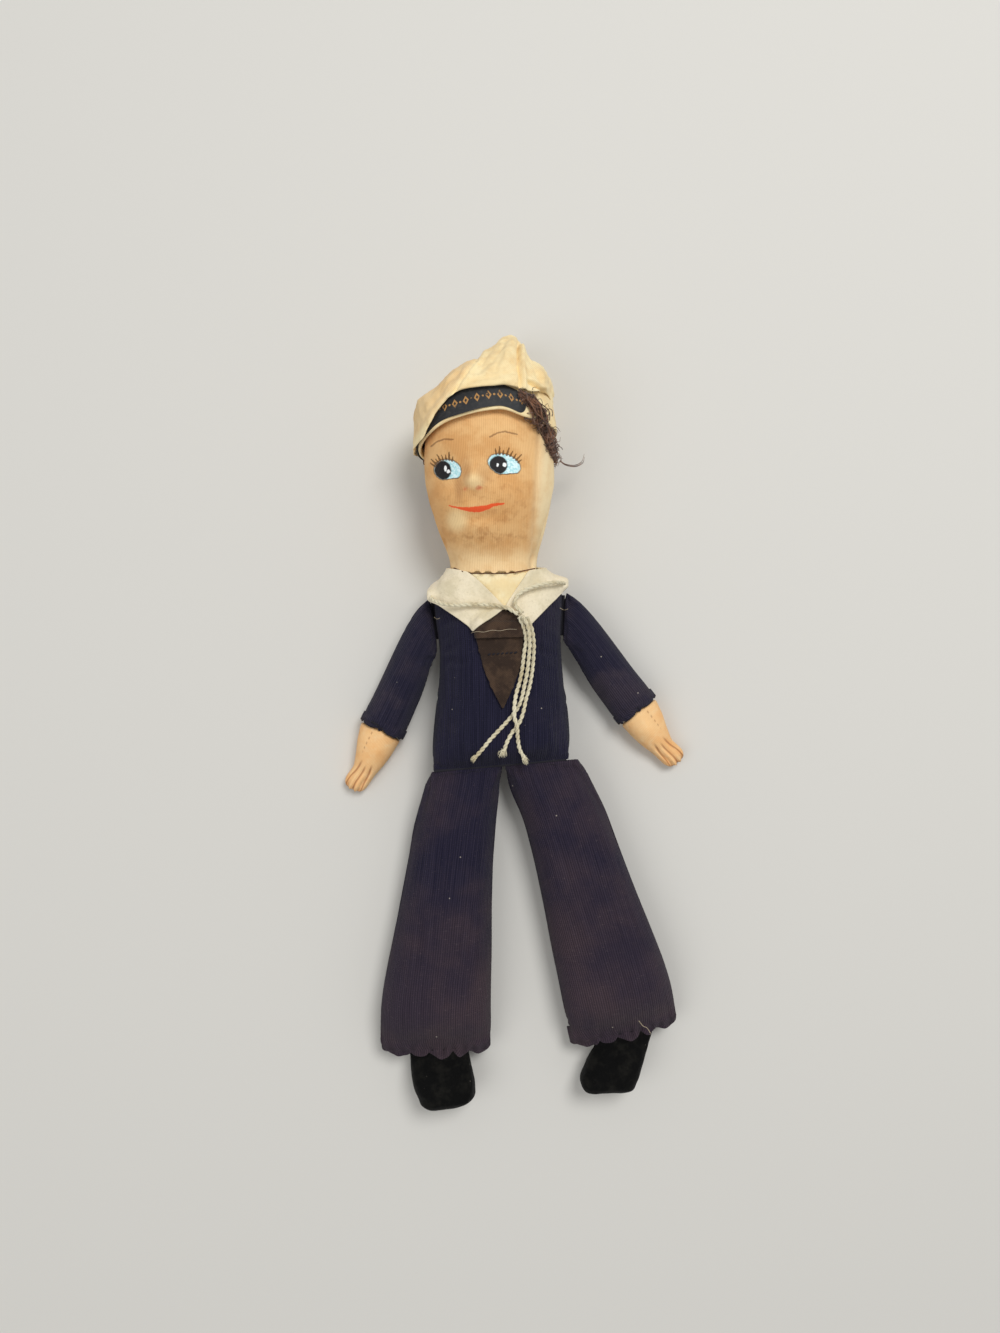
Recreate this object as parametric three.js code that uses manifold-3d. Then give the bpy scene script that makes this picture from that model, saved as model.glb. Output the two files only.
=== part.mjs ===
// A small cloth sailor doll lying on its back, built as the real one is sewn: cloth covers
// over stuffing, a moulded face, a soft cap, and limbs that flop on their flat seams.
// Millimetres. +Y runs to the head, +Z is the doll's front, +X is the doll's left.
// The origin is on the flat of the back, at the middle of the body.
import * as THREE from 'three';
import { mergeVertices } from 'three/addons/utils/BufferGeometryUtils.js';
import Module from 'manifold-3d';

const wasm = await Module();
wasm.setup();
const { Manifold, Mesh } = wasm;

// Cloths and gaps
const gap = 0.3; // between pieces that touch
const coverCloth = 0.8;
const feltCloth = 0.9;
const scarfCloth = 0.7;
const ribbonCloth = 0.6;
const floorHeight = 0;
const seamClear = 5; // from a flat seam to the stuffing
const hemClear = 8;
const armSeamClear = 4;
const seamEdge = { top: 0.02, bottom: 0.06 }; // shares of the depth that are left at a flat seam
const slitHeight = 0.2;
const slitDrop = 0.16; // of the slit's middle below the seam

// Body
const waistHeight = -16.6; // of the waist seam, along Y
const waistTilt = 5; // degrees
const bodyLength = 56.6; // from the waist seam to the neck seam
const waistHalfWidth = 19.6;
const chestHalfWidth = 17.6;
const shoulderHalfWidth = 18.6;
const bodyDepth = 21.2;
const hipSeamHeight = 15; // above the floor
const waistTuck = 6.5; // how far the body narrows to its waist seam

// Neck
const neckHalfWidth = 11.9;
const neckHalfDepth = 9.6;
const neckShift = -1.9; // the neck stands a little to the doll's right
const neckHeight = 12.6; // of the neck's middle above the floor
const chinDrop = 13; // degrees that the neck seam drops at the front

// Head
const headLength = 54;
const headHalfWidth = 18.4;
const headHalfDepth = 15.6;
const headLift = 2.3; // of the back of the head above the floor
const headLean = 3; // degrees
const faceTurn = -12; // degrees about the head's own length
const crownRound = 18; // length of the rounded top of the head
const noseLength = 1.7;

// Cap
const capHeight = 35.3; // of the band's lower edge above the neck seam
const capLean = 17.4; // degrees that the cap leans back
const capTilt = 4.3; // degrees that its left corner hangs
const bandHeight = 8;
const bandCloth = 1;
const tallyWidth = 7;
const tallyRise = 0.4; // above the band's lower edge
const crownCloth = 1;
const crownHeight = 19.4; // above the band
const crownPeakShift = 9;
const crownPleat = 0.5;
const crownCrease = 1.2;

// Hair
const hairDepth = 1.5;
const hairlineHeight = 31; // on the side of the head, above the neck seam
const curlSize = 3.4;
const strayLockDiameter = 0.6;

// Arms
const shoulderSeamLength = 12;
const shoulderSeamHeight = 10.5; // above the floor
const armLength = 35.9; // shoulder seam to cuff
const armHalfWidth = 6.7;
const armHalfDepth = 5.3;
const armTaper = 0.45; // growth of half the depth with the distance from the seam
const handLength = 20.6;
const wristHalfWidth = 6.5;
const palmHalfWidth = 4.6;
const fingersHalfWidth = 3.6;
const fingersHalfDepth = 2.7;

// Legs
const legLength = 83.4; // hip seam to hem
const legTopHalfWidth = 10.6;
const kneeHalfWidth = 13.2;
const hemHalfWidth = 16.2;
const legHalfDepth = 8.6;
const legBow = 1.6;
const hemSeamHeight = 7; // above the floor
const hemTuck = 13; // how far the leg narrows to its hem
const hipTuck = 6.5;

// Shoes
const shoeLength = 17.2;
const ankleHalfWidth = 8.8;
const toeHalfWidth = 9.8;
const shoeHalfDepth = 6.9;
const shoeTuck = 10.5;

// Cord
const cordDiameter = 1.2;
const cordSides = 6;

// What differs between the doll's right (side -1) and left (side 1)
const arms = {
  right: { side: -1, spread: 26.3, shoulderAlong: 41.9 },
  left: { side: 1, spread: 38.2, shoulderAlong: 43.6 },
};
const legs = {
  right: {
    side: -1,
    spread: 6,
    hip: legTopHalfWidth - 0.3,
    hemTilt: 1.4,
    shoeTurn: -13.2,
    shoeShift: 0.8,
    shoeWidth: 1,
  },
  left: {
    side: 1,
    spread: 16.4,
    hip: legTopHalfWidth + 1.7,
    hemTilt: 12.7,
    shoeTurn: -36,
    shoeShift: -0.9,
    shoeWidth: 0.84,
  },
};

const group = new THREE.Group();
const rad = THREE.MathUtils.degToRad;
const upright = new THREE.Vector3(0, 1, 0);
const clothOf = (color, roughness = 0.95) => new THREE.MeshStandardMaterial({ color, roughness, metalness: 0 });
const stuffing = clothOf('#cbb893', 1);

// Solids

function meshOf(solid) {
  const { vertProperties, triVerts } = solid.getMesh();
  const geometry = new THREE.BufferGeometry();
  geometry.setAttribute('position', new THREE.BufferAttribute(vertProperties, 3));
  geometry.setIndex(new THREE.BufferAttribute(triVerts, 1));
  return geometry;
}

function solidOf(geometry) {
  const bare = geometry.clone();
  bare.deleteAttribute('normal');
  bare.deleteAttribute('uv');
  const merged = mergeVertices(bare, 1e-4);
  return new Manifold(new Mesh({
    numProp: 3,
    vertProperties: new Float32Array(merged.attributes.position.array),
    triVerts: new Uint32Array(merged.index.array),
  }));
}

function add(name, solid, material, parent = group) {
  const mesh = new THREE.Mesh(meshOf(solid), material);
  mesh.name = name;
  parent.add(mesh);
  return mesh;
}

// The largest body of a solid, without the slivers that a cut may leave.
function mainBody(solid) {
  return solid.decompose().reduce((a, b) => (a.volume() > b.volume() ? a : b));
}

// A closed skin over rings of equal count, with a point at the middle of each end.
function skin(rings, firstPoint, lastPoint) {
  const sides = rings[0].length;
  const points = rings.flat().concat([firstPoint, lastPoint]);
  const faces = [];
  for (let k = 0; k < sides; k += 1) {
    const next = (k + 1) % sides;
    for (let r = 0; r + 1 < rings.length; r += 1) {
      const low = r * sides;
      const high = low + sides;
      faces.push(low + k, high + next, low + next, low + k, high + k, high + next);
    }
    const top = (rings.length - 1) * sides;
    faces.push(points.length - 2, k, next, points.length - 1, top + next, top + k);
  }
  const geometry = new THREE.BufferGeometry().setFromPoints(points);
  geometry.setIndex(faces);
  return geometry;
}

function splineOf({ stations }) {
  const heights = stations.map((s) => s[0]);
  return new THREE.CubicInterpolant(heights, stations.flatMap((s) => s.slice(1)), 5);
}

// A stuffed form along Y. Each station is [y, x, z, half width, half depth, squareness], and the
// form runs smoothly through them, with rings at its heights or evenly along it. grow thickens
// it, also at its start unless the form is cut there, and shape moves each point of the skin.
function stuffed(form, grow = 0, detail = 1) {
  const { stations } = form;
  const spline = splineOf(form);
  const sides = Math.round(form.sides * detail);
  const start = stations[0][0];
  const end = stations[stations.length - 1][0];
  const round = form.round ?? 0;
  const straight = end - round;
  const count = Math.round((form.rings ?? 0) * detail);
  const straightCount = round > 0 ? Math.round(count * 0.6) : count;
  const ringHeight = (r) => start + ((straight - start) * r) / straightCount;
  const evenly = () => [...Array(straightCount + 1).keys()].map(ringHeight);
  const floor = (form.floor ?? -Infinity) - Math.min(grow, 0);
  const rings = [];
  const ringAt = (y, along, scale) => {
    const [x, z, halfWidth, halfDepth, square] = spline.evaluate(along);
    const ring = [];
    for (let k = 0; k < sides; k += 1) {
      const turn = (2 * Math.PI * k) / sides;
      const across = Math.cos(turn);
      const up = Math.sin(turn);
      const power = 2 / square;
      const point = new THREE.Vector3(
        x + Math.sign(across) * Math.abs(across) ** power * (halfWidth + grow) * scale,
        y,
        z + Math.sign(up) * Math.abs(up) ** power * (halfDepth + grow) * scale,
      );
      form.shape?.(point, { x, z, grow });
      point.z = Math.max(point.z, floor);
      ring.push(point);
    }
    return ring;
  };
  (form.heights ?? evenly()).forEach((y, r) => {
    rings.push(ringAt(r === 0 && !form.cut ? y - Math.abs(grow) : y, y, 1));
  });
  const roundCount = round > 0 ? count - straightCount : 0;
  for (let r = 1; r <= roundCount; r += 1) {
    const turn = (r / (roundCount + 0.35)) * (Math.PI / 2);
    const along = straight + round * Math.sin(turn);
    rings.push(ringAt(straight + (round + grow) * Math.sin(turn), Math.min(along, end), Math.cos(turn)));
  }
  const middle = (ring) => ring.reduce((sum, p) => sum.add(p), new THREE.Vector3()).divideScalar(ring.length);
  const last = middle(rings[rings.length - 1]);
  if (round > 0) last.y = end + grow;
  return solidOf(skin(rings, middle(rings[0]), last));
}

// An outline in the XY plane, drawn up from one height to another.
function prism(outline, low, high) {
  const shape = new THREE.Shape(outline.map(([x, y]) => new THREE.Vector2(x, y)));
  const geometry = new THREE.ExtrudeGeometry(shape, { depth: high - low, bevelEnabled: false });
  geometry.translate(0, 0, low);
  return solidOf(geometry);
}

// The side of a plane that its normal points to, as a large block.
function beyond(point, normal, reach = 160) {
  const block = new THREE.BoxGeometry(2 * reach, reach, 2 * reach);
  block.translate(0, reach / 2, 0);
  block.applyQuaternion(new THREE.Quaternion().setFromUnitVectors(upright, normal.clone().normalize()));
  block.translate(point.x, point.y, point.z);
  return solidOf(block);
}

// The side that the normal points away from, up to an offset along it
function backFrom(point, normal, offset) {
  return beyond(point.clone().addScaledVector(normal, offset), normal.clone().negate());
}

// Cloth draws in from its full depth, at the reach of the tuck, to a thin edge at a flat seam.
function drawIn(z, seamHeight, distance, reach) {
  const edge = z > seamHeight ? seamEdge.top : seamEdge.bottom;
  const share = THREE.MathUtils.clamp((distance - gap / 2) / reach, 0, 1);
  return seamHeight + (z - seamHeight) * (edge + (1 - edge) * Math.sin((Math.PI / 2) * share));
}

// Where the rings lie beside a flat seam, as shares of its tuck past the edge
const seamRings = [0.16, 0.42, 0.7, 1.02];
const hemRings = [1, 0.72, 0.5, 0.3, 0.13];

const bump = (value, middle, width) => Math.exp(-(((value - middle) / width) ** 2));

// Body

const neckSeamHeight = waistHeight + bodyLength;
const waistNormal = new THREE.Vector3(-Math.sin(rad(waistTilt)), Math.cos(rad(waistTilt)), 0);
const waistPoint = new THREE.Vector3(0, waistHeight, hipSeamHeight);
const neckPoint = new THREE.Vector3(neckShift, neckSeamHeight, neckHeight);
const neckNormal = new THREE.Vector3(0, Math.cos(rad(chinDrop)), Math.sin(rad(chinDrop)));
const overWaist = (point) => point.clone().sub(waistPoint).dot(waistNormal);
const waistEdge = waistHeight + gap / 2 / waistNormal.y;

// The waist and the shoulders both slope up to the doll's left, and the neck less so.
function bodySlope(y) {
  const toNeck = THREE.MathUtils.smoothstep(y, waistHeight + 0.85 * bodyLength, neckSeamHeight);
  return Math.tan(rad(waistTilt)) * (1 - 0.8 * toNeck);
}

function bodyForm(floor = floorHeight) {
  const halfDepth = bodyDepth / 2 + 0.4;
  const middle = bodyDepth / 2 - 0.4;
  const up = (share) => waistHeight + bodyLength * share;
  return {
    sides: 24,
    cut: true,
    heights: [
      waistEdge,
      ...seamRings.map((share) => waistEdge + waistTuck * share),
      ...[0.22, 0.36, 0.5, 0.63, 0.74, 0.83, 0.89, 0.945, 1, 1.1].map(up),
    ],
    floor,
    stations: [
      [waistEdge, 0, middle, waistHalfWidth, halfDepth, 2.8],
      [up(0.12), 0, middle, waistHalfWidth, halfDepth, 2.8],
      [up(0.38), 0, middle, (waistHalfWidth + 2 * chestHalfWidth) / 3, halfDepth, 2.6],
      [up(0.63), -0.3, middle, chestHalfWidth, halfDepth, 2.5],
      [up(0.82), -0.8, middle, shoulderHalfWidth, halfDepth - 0.5, 2.4],
      [up(0.9), -1, middle + 0.6, shoulderHalfWidth - 0.6, neckHalfDepth + 0.6, 2.3],
      [up(0.95), 0.8 * neckShift, middle + 1.2, (shoulderHalfWidth + neckHalfWidth) / 2, neckHalfDepth, 2.2],
      [up(1), neckShift, neckHeight, neckHalfWidth, neckHalfDepth, 2],
      [up(1.1), neckShift, neckHeight, neckHalfWidth, neckHalfDepth, 2],
    ],
    shape(point) {
      point.y += point.x * bodySlope(point.y);
      point.z = drawIn(point.z, hipSeamHeight, overWaist(point), waistTuck);
    },
  };
}

function bodyEdge(side, y) {
  const [x, , halfWidth] = splineOf(bodyForm()).evaluate(y - side * shoulderHalfWidth * bodySlope(y));
  return x + side * halfWidth;
}

const overNeck = (offset) => beyond(neckPoint.clone().addScaledVector(neckNormal, offset), neckNormal);
const underWaist = (offset) => backFrom(waistPoint, waistNormal, offset);
const bodySkin = (grow, floor) => stuffed(bodyForm(floor), grow);
const bodyTrim = (solid) => solid.subtract(overNeck(-gap / 2));

// Points on the chest are given as [x, drop below the neck seam].
const hung = ([x, drop]) => [x, neckSeamHeight - drop];

// Collar: lapels on the chest, and a square flap under the back
const lapelCorner = { right: hung([-20.6, 8.8]), left: hung([19.2, 5.8]) };
const lapelPoint = { right: hung([-7, 18.8]), left: hung([8.3, 16.9]) };
const lapelMeet = hung([1, 11.9]);
const neckOpen = { right: hung([-9.8, 1.4]), left: hung([8.6, 1.1]) };
const flapBottom = neckSeamHeight - 32;
const flapHalfWidth = 18;
const collarTop = neckSeamHeight + 6;
const collarMiddle = shoulderSeamHeight + 1;

function collarOutline(grow) {
  return [
    [-26, collarTop],
    [neckOpen.right[0] + grow - 4, collarTop],
    [neckOpen.right[0] + grow, neckOpen.right[1]],
    [lapelMeet[0] + grow * 0.2, lapelMeet[1] + grow],
    [lapelPoint.right[0] + grow * 0.6, lapelPoint.right[1] - grow],
    [lapelCorner.right[0] - grow, lapelCorner.right[1] - grow],
    [-26, lapelCorner.right[1] - grow],
  ];
}

function collarOutlineLeft(grow) {
  return [
    [26, collarTop],
    [26, lapelCorner.left[1] - grow],
    [lapelCorner.left[0] + grow, lapelCorner.left[1] - grow],
    [lapelPoint.left[0] - grow * 0.6, lapelPoint.left[1] - grow],
    [lapelMeet[0] - grow * 0.2 + gap, lapelMeet[1] + grow],
    [neckOpen.left[0] - grow, neckOpen.left[1]],
    [neckOpen.left[0] - grow + 4, collarTop],
  ];
}

function flapOutline(grow) {
  return [
    [-flapHalfWidth - grow, flapBottom - grow],
    [flapHalfWidth + grow, flapBottom - grow],
    [flapHalfWidth + grow, lapelCorner.left[1] + 1],
    [-flapHalfWidth - grow, lapelCorner.right[1] + 1],
  ];
}

function shoulderOutline(grow) {
  return [
    [26, lapelCorner.left[1] - grow],
    [26, collarTop],
    [-26, collarTop],
    [-26, lapelCorner.right[1] - grow],
  ];
}

function collarZone(grow) {
  return prism(collarOutline(grow), collarMiddle, 40)
    .add(prism(collarOutlineLeft(grow), collarMiddle, 40))
    .add(prism(shoulderOutline(grow), -5, collarMiddle + 0.01));
}

const collarOuter = gap + feltCloth;
const collar = bodySkin(collarOuter, floorHeight)
  .subtract(bodySkin(gap, floorHeight + feltCloth))
  .intersect(collarZone(0))
  .add(prism(flapOutline(0), floorHeight, floorHeight + feltCloth));
const collarSolid = mainBody(bodyTrim(collar).subtract(overNeck(-gap)));

// The cream cloth of the neck and chest, and the navy cover below it
const chestV = [
  [lapelMeet[0], lapelMeet[1] - 1.5],
  hung([13, -1.5]),
  [13, collarTop],
  [-15, collarTop],
  hung([-15, -1]),
];
const neckTop = [
  [-26, neckSeamHeight - 3],
  [26, neckSeamHeight - 3],
  [26, collarTop],
  [-26, collarTop],
];
const creamZone = prism(chestV, shoulderSeamHeight, 40).add(prism(neckTop, -5, 40));
const creamZoneClear = creamZone.add(creamZone.translate([0, -gap, 0]))
  .add(creamZone.translate([gap, 0, 0])).add(creamZone.translate([-gap, 0, 0]));
const flapSeat = prism(flapOutline(gap), -5, feltCloth + gap);
const shoulderSeat = prism(shoulderOutline(gap), -5, shoulderSeamHeight - 4)
  .subtract(bodySkin(0, feltCloth + gap));
const bodyOuter = bodyTrim(bodySkin(0, floorHeight)).subtract(flapSeat).subtract(shoulderSeat);
const bodyHollow = bodySkin(-coverCloth, feltCloth + gap).subtract(underWaist(seamClear));
const bodyFill = bodySkin(-coverCloth - gap, feltCloth + gap).subtract(underWaist(seamClear + gap));
const bodyShell = bodyOuter.subtract(bodyHollow);
add('torso_cover', bodyShell.subtract(creamZoneClear), clothOf('#26233a'));
add('chest_inset', bodyShell.intersect(creamZone), clothOf('#e0cda2'));
add('torso_stuffing', bodyTrim(bodyFill), stuffing);
add('collar', collarSolid, clothOf('#d5ccb4'));

// Scarf: a tail that hangs to a point, with a short fold laid over its top
const scarfTailOutline = [
  [-7.2, 18.4],
  [-6.9, 21.1],
  [-4.7, 28.9],
  [-3, 33.6],
  [0.4, 40],
  [1.6, 37.8],
  [3.9, 33.6],
  [5.6, 28],
  [6.2, 18.4],
].map(hung);
const scarfFoldOutline = [
  [-7.6, 17.4],
  [0.4, 12.4],
  [6.4, 15],
  [6.4, 20.2],
  [-7.3, 20.6],
].map(hung);
const onCollar = collarZone(gap);
const scarfLayer = (inner) => bodySkin(inner + scarfCloth, floorHeight).subtract(bodySkin(inner, floorHeight));
const scarfPiece = (outline, inner) => scarfLayer(inner)
  .intersect(prism(outline, collarMiddle, 40)).subtract(onCollar);
add('scarf_tail', scarfPiece(scarfTailOutline, gap), clothOf('#3a2b24'));
add('scarf_fold', scarfPiece(scarfFoldOutline, 2 * gap + scarfCloth), clothOf('#3f2c22'));

// Arms

// The shoulder seam lies along the side of the body, just clear of it.
function shoulderSeam(side, along) {
  const [low, high] = [along - shoulderSeamLength * 0.6, along + shoulderSeamLength * 0.4];
  const lowEdge = bodyEdge(side, low);
  const slope = (bodyEdge(side, high) - lowEdge) / (high - low);
  const heights = Array.from({ length: 13 }, (_, k) => low + ((high - low) * k) / 12);
  const bulge = Math.max(...heights.map((y) => side * (bodyEdge(side, y) - lowEdge - slope * (y - low))));
  return { x: lowEdge + slope * (along - low) + side * (bulge + gap / 2), tilt: side * Math.atan(slope) };
}

function armForm(arm) {
  const station = (y, z, outer, inner, depth) => [
    y,
    (arm.side * (outer - inner)) / 2,
    z,
    (outer + inner) / 2,
    depth,
    2.1,
  ];
  const low = (depth) => depth - 0.25;
  return {
    sides: 16,
    rings: 10,
    floor: floorHeight,
    stations: [
      station(-5, shoulderSeamHeight, 0.62 * armHalfWidth, armHalfWidth, armHalfDepth),
      station(0, shoulderSeamHeight, 0.9 * armHalfWidth, armHalfWidth, armHalfDepth),
      station(0.12 * armLength, shoulderSeamHeight - 1, 0.97 * armHalfWidth, 0.78 * armHalfWidth, armHalfDepth),
      station(0.31 * armLength, 7.4, 1.02 * armHalfWidth, 0.8 * armHalfWidth, armHalfDepth + 0.1),
      station(0.55 * armLength, low(armHalfDepth) + 0.6, 1.02 * armHalfWidth, 0.96 * armHalfWidth, armHalfDepth),
      station(0.8 * armLength, low(armHalfDepth), armHalfWidth, armHalfWidth, armHalfDepth),
      station(armLength + 2, low(armHalfDepth - 0.3), armHalfWidth, armHalfWidth, armHalfDepth - 0.3),
    ],
    shape(point) {
      const share = Math.min(1, (0.12 + armTaper * Math.max(arm.overSeam(point), 0)) / (armHalfDepth + 0.1));
      point.z = shoulderSeamHeight + (point.z - shoulderSeamHeight) * (share < 1 ? share : 1);
    },
  };
}

function handForm(arm) {
  const { side } = arm;
  const station = (share, outer, inner, depth, square) => [
    armLength + gap / 2 + handLength * share,
    (side * (outer - inner)) / 2,
    depth - 0.2,
    (outer + inner) / 2,
    depth,
    square,
  ];
  return {
    sides: 14,
    rings: 9,
    floor: floorHeight,
    round: 3.2,
    stations: [
      station(-0.1, wristHalfWidth, wristHalfWidth, armHalfDepth - 0.5, 2.1),
      station(0, wristHalfWidth, wristHalfWidth, armHalfDepth - 0.5, 2.1),
      station(0.26, 0.84 * wristHalfWidth, 0.94 * wristHalfWidth, armHalfDepth - 0.9, 2.2),
      station(0.47, 0.86 * palmHalfWidth, 1.15 * palmHalfWidth, fingersHalfDepth + 1, 2.3),
      station(0.62, 0.8 * fingersHalfWidth, 1.2 * fingersHalfWidth, fingersHalfDepth + 0.4, 2.3),
      station(0.84, fingersHalfWidth, 1.02 * fingersHalfWidth, fingersHalfDepth, 2.4),
      station(1, fingersHalfWidth, fingersHalfWidth, fingersHalfDepth, 2.4),
    ],
  };
}

function makeArm(name, arm) {
  const { side } = arm;
  const along = waistHeight + arm.shoulderAlong;
  const frame = new THREE.Group();
  const seam = shoulderSeam(side, along);
  frame.position.set(seam.x, along, 0);
  frame.rotation.z = rad(side < 0 ? 180 - arm.spread : 180 + arm.spread);
  group.add(frame);
  // In the arm's own frame its outer side is +X on the right arm and -X on the left one.
  const own = { ...arm, side: -side };
  const turn = rad(arm.spread) + seam.tilt;
  const seamNormal = new THREE.Vector3(-side * Math.cos(turn), Math.sin(turn), 0);
  own.overSeam = (point) => point.x * seamNormal.x + point.y * seamNormal.y;
  const beforeSeam = (offset) => backFrom(new THREE.Vector3(), seamNormal, offset);
  const pastCuff = beyond(new THREE.Vector3(0, armLength - gap / 2, 0), upright);
  const beforeWrist = (offset) => backFrom(new THREE.Vector3(0, armLength, 0), upright, offset);
  const sleeve = (grow, detail) => stuffed(armForm(own), grow, detail);
  const hand = (grow, detail) => stuffed(handForm(own), grow, detail);
  const inside = coverCloth + gap;
  const sleeveHollow = sleeve(-coverCloth, 0.7).subtract(beforeSeam(armSeamClear));
  const cover = sleeve(0).subtract(beforeSeam(gap / 2)).subtract(pastCuff).subtract(sleeveHollow);
  add(`sleeve_${name}`, cover, clothOf('#282639'), frame);
  const glove = hand(0).subtract(beforeWrist(gap / 2)).subtract(hand(-coverCloth, 0.7));
  add(`hand_${name}`, glove, clothOf('#e3b684'), frame);
  const filling = sleeve(-inside, 0.7).subtract(beforeSeam(armSeamClear + gap)).subtract(pastCuff)
    .add(hand(-inside, 0.7).subtract(beforeWrist(-1)));
  add(`arm_stuffing_${name}`, filling, stuffing, frame);
}

for (const [name, arm] of Object.entries(arms)) makeArm(name, arm);

// Legs and shoes

function legForm(leg) {
  const { side } = leg;
  const station = (share, bow, halfWidth) => [
    legLength * share,
    side * bow * legBow,
    legHalfDepth - 0.3,
    halfWidth,
    legHalfDepth,
    2.6,
  ];
  return {
    sides: 16,
    cut: true,
    heights: [
      leg.hipEdge,
      ...seamRings.map((share) => leg.hipEdge + hipTuck * share),
      ...[0.2, 0.35, 0.5, 0.65, 0.77].map((share) => legLength * share),
      ...hemRings.map((share) => leg.hemEdge - hemTuck * share),
      leg.hemEdge,
    ],
    floor: floorHeight,
    stations: [
      station(-0.06, 0, legTopHalfWidth),
      station(0.02, 0.1, 1.03 * legTopHalfWidth),
      station(0.2, 0.9, (legTopHalfWidth + 1.6 * kneeHalfWidth) / 2.6),
      station(0.42, 1, kneeHalfWidth),
      station(0.62, 1, (kneeHalfWidth + hemHalfWidth) / 2 + 0.2),
      station(0.82, 0.95, hemHalfWidth),
      station(0.95, 0.4, hemHalfWidth + 0.1),
      station(1.05, 0, hemHalfWidth - 0.9),
    ],
    shape(point) {
      const down = THREE.MathUtils.smoothstep(point.y, 0, legLength);
      point.y -= point.x * THREE.MathUtils.lerp(leg.hipSlope, leg.hemSlope, down);
      point.z = drawIn(point.z, hipSeamHeight, leg.overHip(point), hipTuck);
      point.z = drawIn(point.z, hemSeamHeight, leg.overHem(point), hemTuck);
    },
  };
}

function shoeForm(shoe) {
  const station = (share, width, depth, square) => [
    shoeLength * share,
    0,
    depth - 0.2,
    width * shoe.width,
    depth,
    square,
  ];
  return {
    sides: 16,
    rings: 9,
    cut: true,
    heights: [shoe.hemEdge, ...hemRings.toReversed().map((share) => shoe.hemEdge + shoeTuck * share)],
    floor: floorHeight,
    round: 4,
    stations: [
      station(-0.25, ankleHalfWidth, shoeHalfDepth, 2.4),
      station(0.1, ankleHalfWidth, shoeHalfDepth, 2.4),
      station(0.5, (ankleHalfWidth + toeHalfWidth) / 2, shoeHalfDepth, 2.6),
      station(0.8, toeHalfWidth, shoeHalfDepth, 3),
      station(1, toeHalfWidth, shoeHalfDepth, 3.2),
    ],
    shape(point) {
      point.y -= point.x * shoe.hemSlope * (1 - THREE.MathUtils.smoothstep(point.y, 0, shoeTuck));
      point.z = drawIn(point.z, hemSeamHeight, shoe.overHem(point), shoeTuck);
    },
  };
}

// A slit between the two cloths of a flat seam, through which the stuffing went in.
function slit(width, length, height) {
  const box = new THREE.BoxGeometry(width, length, slitHeight);
  box.translate(0, 0, height - slitDrop);
  return solidOf(box);
}

function makeLeg(name, leg) {
  const { side } = leg;
  const spread = rad(leg.spread);
  const frame = new THREE.Group();
  const hip = new THREE.Vector3(side * leg.hip, waistHeight + side * leg.hip * Math.tan(rad(waistTilt)), 0);
  frame.position.copy(hip);
  frame.rotation.z = side < 0 ? Math.PI - spread : Math.PI + spread;
  group.add(frame);
  const turnInto = (normal) => normal.clone().applyAxisAngle(new THREE.Vector3(0, 0, 1), -frame.rotation.z);
  const own = { ...leg, side: -side };
  const hipNormal = turnInto(waistNormal.clone().negate());
  own.overHip = (point) => point.x * hipNormal.x + point.y * hipNormal.y;
  own.hipSlope = hipNormal.x / hipNormal.y;
  own.hipEdge = gap / 2 / hipNormal.y;
  const hemPoint = new THREE.Vector3(0, legLength, 0);
  const hemNormal = turnInto(new THREE.Vector3(-Math.sin(rad(leg.hemTilt)), Math.cos(rad(leg.hemTilt)), 0));
  own.overHem = (point) => (point.x - hemPoint.x) * hemNormal.x + (point.y - hemPoint.y) * hemNormal.y;
  own.hemSlope = hemNormal.x / hemNormal.y;
  own.hemEdge = legLength + gap / 2 / hemNormal.y;
  const beforeHip = (offset) => backFrom(new THREE.Vector3(), hipNormal, offset);
  const pastHem = (offset) => backFrom(hemPoint, hemNormal, offset);
  const trouser = (grow, detail) => stuffed(legForm(own), grow, detail);
  const hollow = trouser(-coverCloth, 0.75).subtract(beforeHip(seamClear)).subtract(pastHem(hemClear))
    .add(slit(legTopHalfWidth, 13, hipSeamHeight));
  add(`trouser_leg_${name}`, trouser(0).subtract(hollow), clothOf('#342e40'), frame);
  const inside = coverCloth + gap;
  const filling = trouser(-inside, 0.75).subtract(beforeHip(seamClear + gap)).subtract(pastHem(hemClear + gap));
  add(`leg_stuffing_${name}`, filling, stuffing, frame);

  const shoeFrame = new THREE.Group();
  shoeFrame.position.set(side * leg.shoeShift, legLength, 0);
  shoeFrame.rotation.z = side * rad(leg.shoeTurn);
  frame.add(shoeFrame);
  const shoeNormal = hemNormal.clone().negate().applyAxisAngle(new THREE.Vector3(0, 0, 1), -shoeFrame.rotation.z);
  const hemAway = shoeNormal.clone().multiplyScalar(-shoeFrame.position.x * -hemNormal.x);
  const shoe = {
    width: leg.shoeWidth,
    hemSlope: shoeNormal.x / shoeNormal.y,
    hemEdge: (gap / 2 + hemAway.dot(shoeNormal)) / shoeNormal.y,
    overHem: (point) => (point.x - hemAway.x) * shoeNormal.x + (point.y - hemAway.y) * shoeNormal.y,
  };
  const beforeHem = (offset) => backFrom(hemAway, shoeNormal, offset);
  const boot = (grow, detail) => stuffed(shoeForm(shoe), grow, detail);
  const bootHollow = boot(-coverCloth, 0.8).subtract(beforeHem(seamClear))
    .add(slit(ankleHalfWidth, 14, hemSeamHeight));
  add(`shoe_${name}`, boot(0).subtract(bootHollow), clothOf('#121210', 0.85), shoeFrame);
  const bootFill = boot(-inside, 0.8).subtract(beforeHem(seamClear + gap));
  add(`shoe_stuffing_${name}`, bootFill, stuffing, shoeFrame);
}

for (const [name, leg] of Object.entries(legs)) makeLeg(name, leg);

// Head, in a frame at the neck seam that leans with it

const head = new THREE.Group();
head.position.copy(neckPoint);
head.rotation.z = rad(headLean);
group.add(head);
const headFloor = floorHeight - neckHeight;
const headMiddle = headLift + headHalfDepth - neckHeight;

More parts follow.
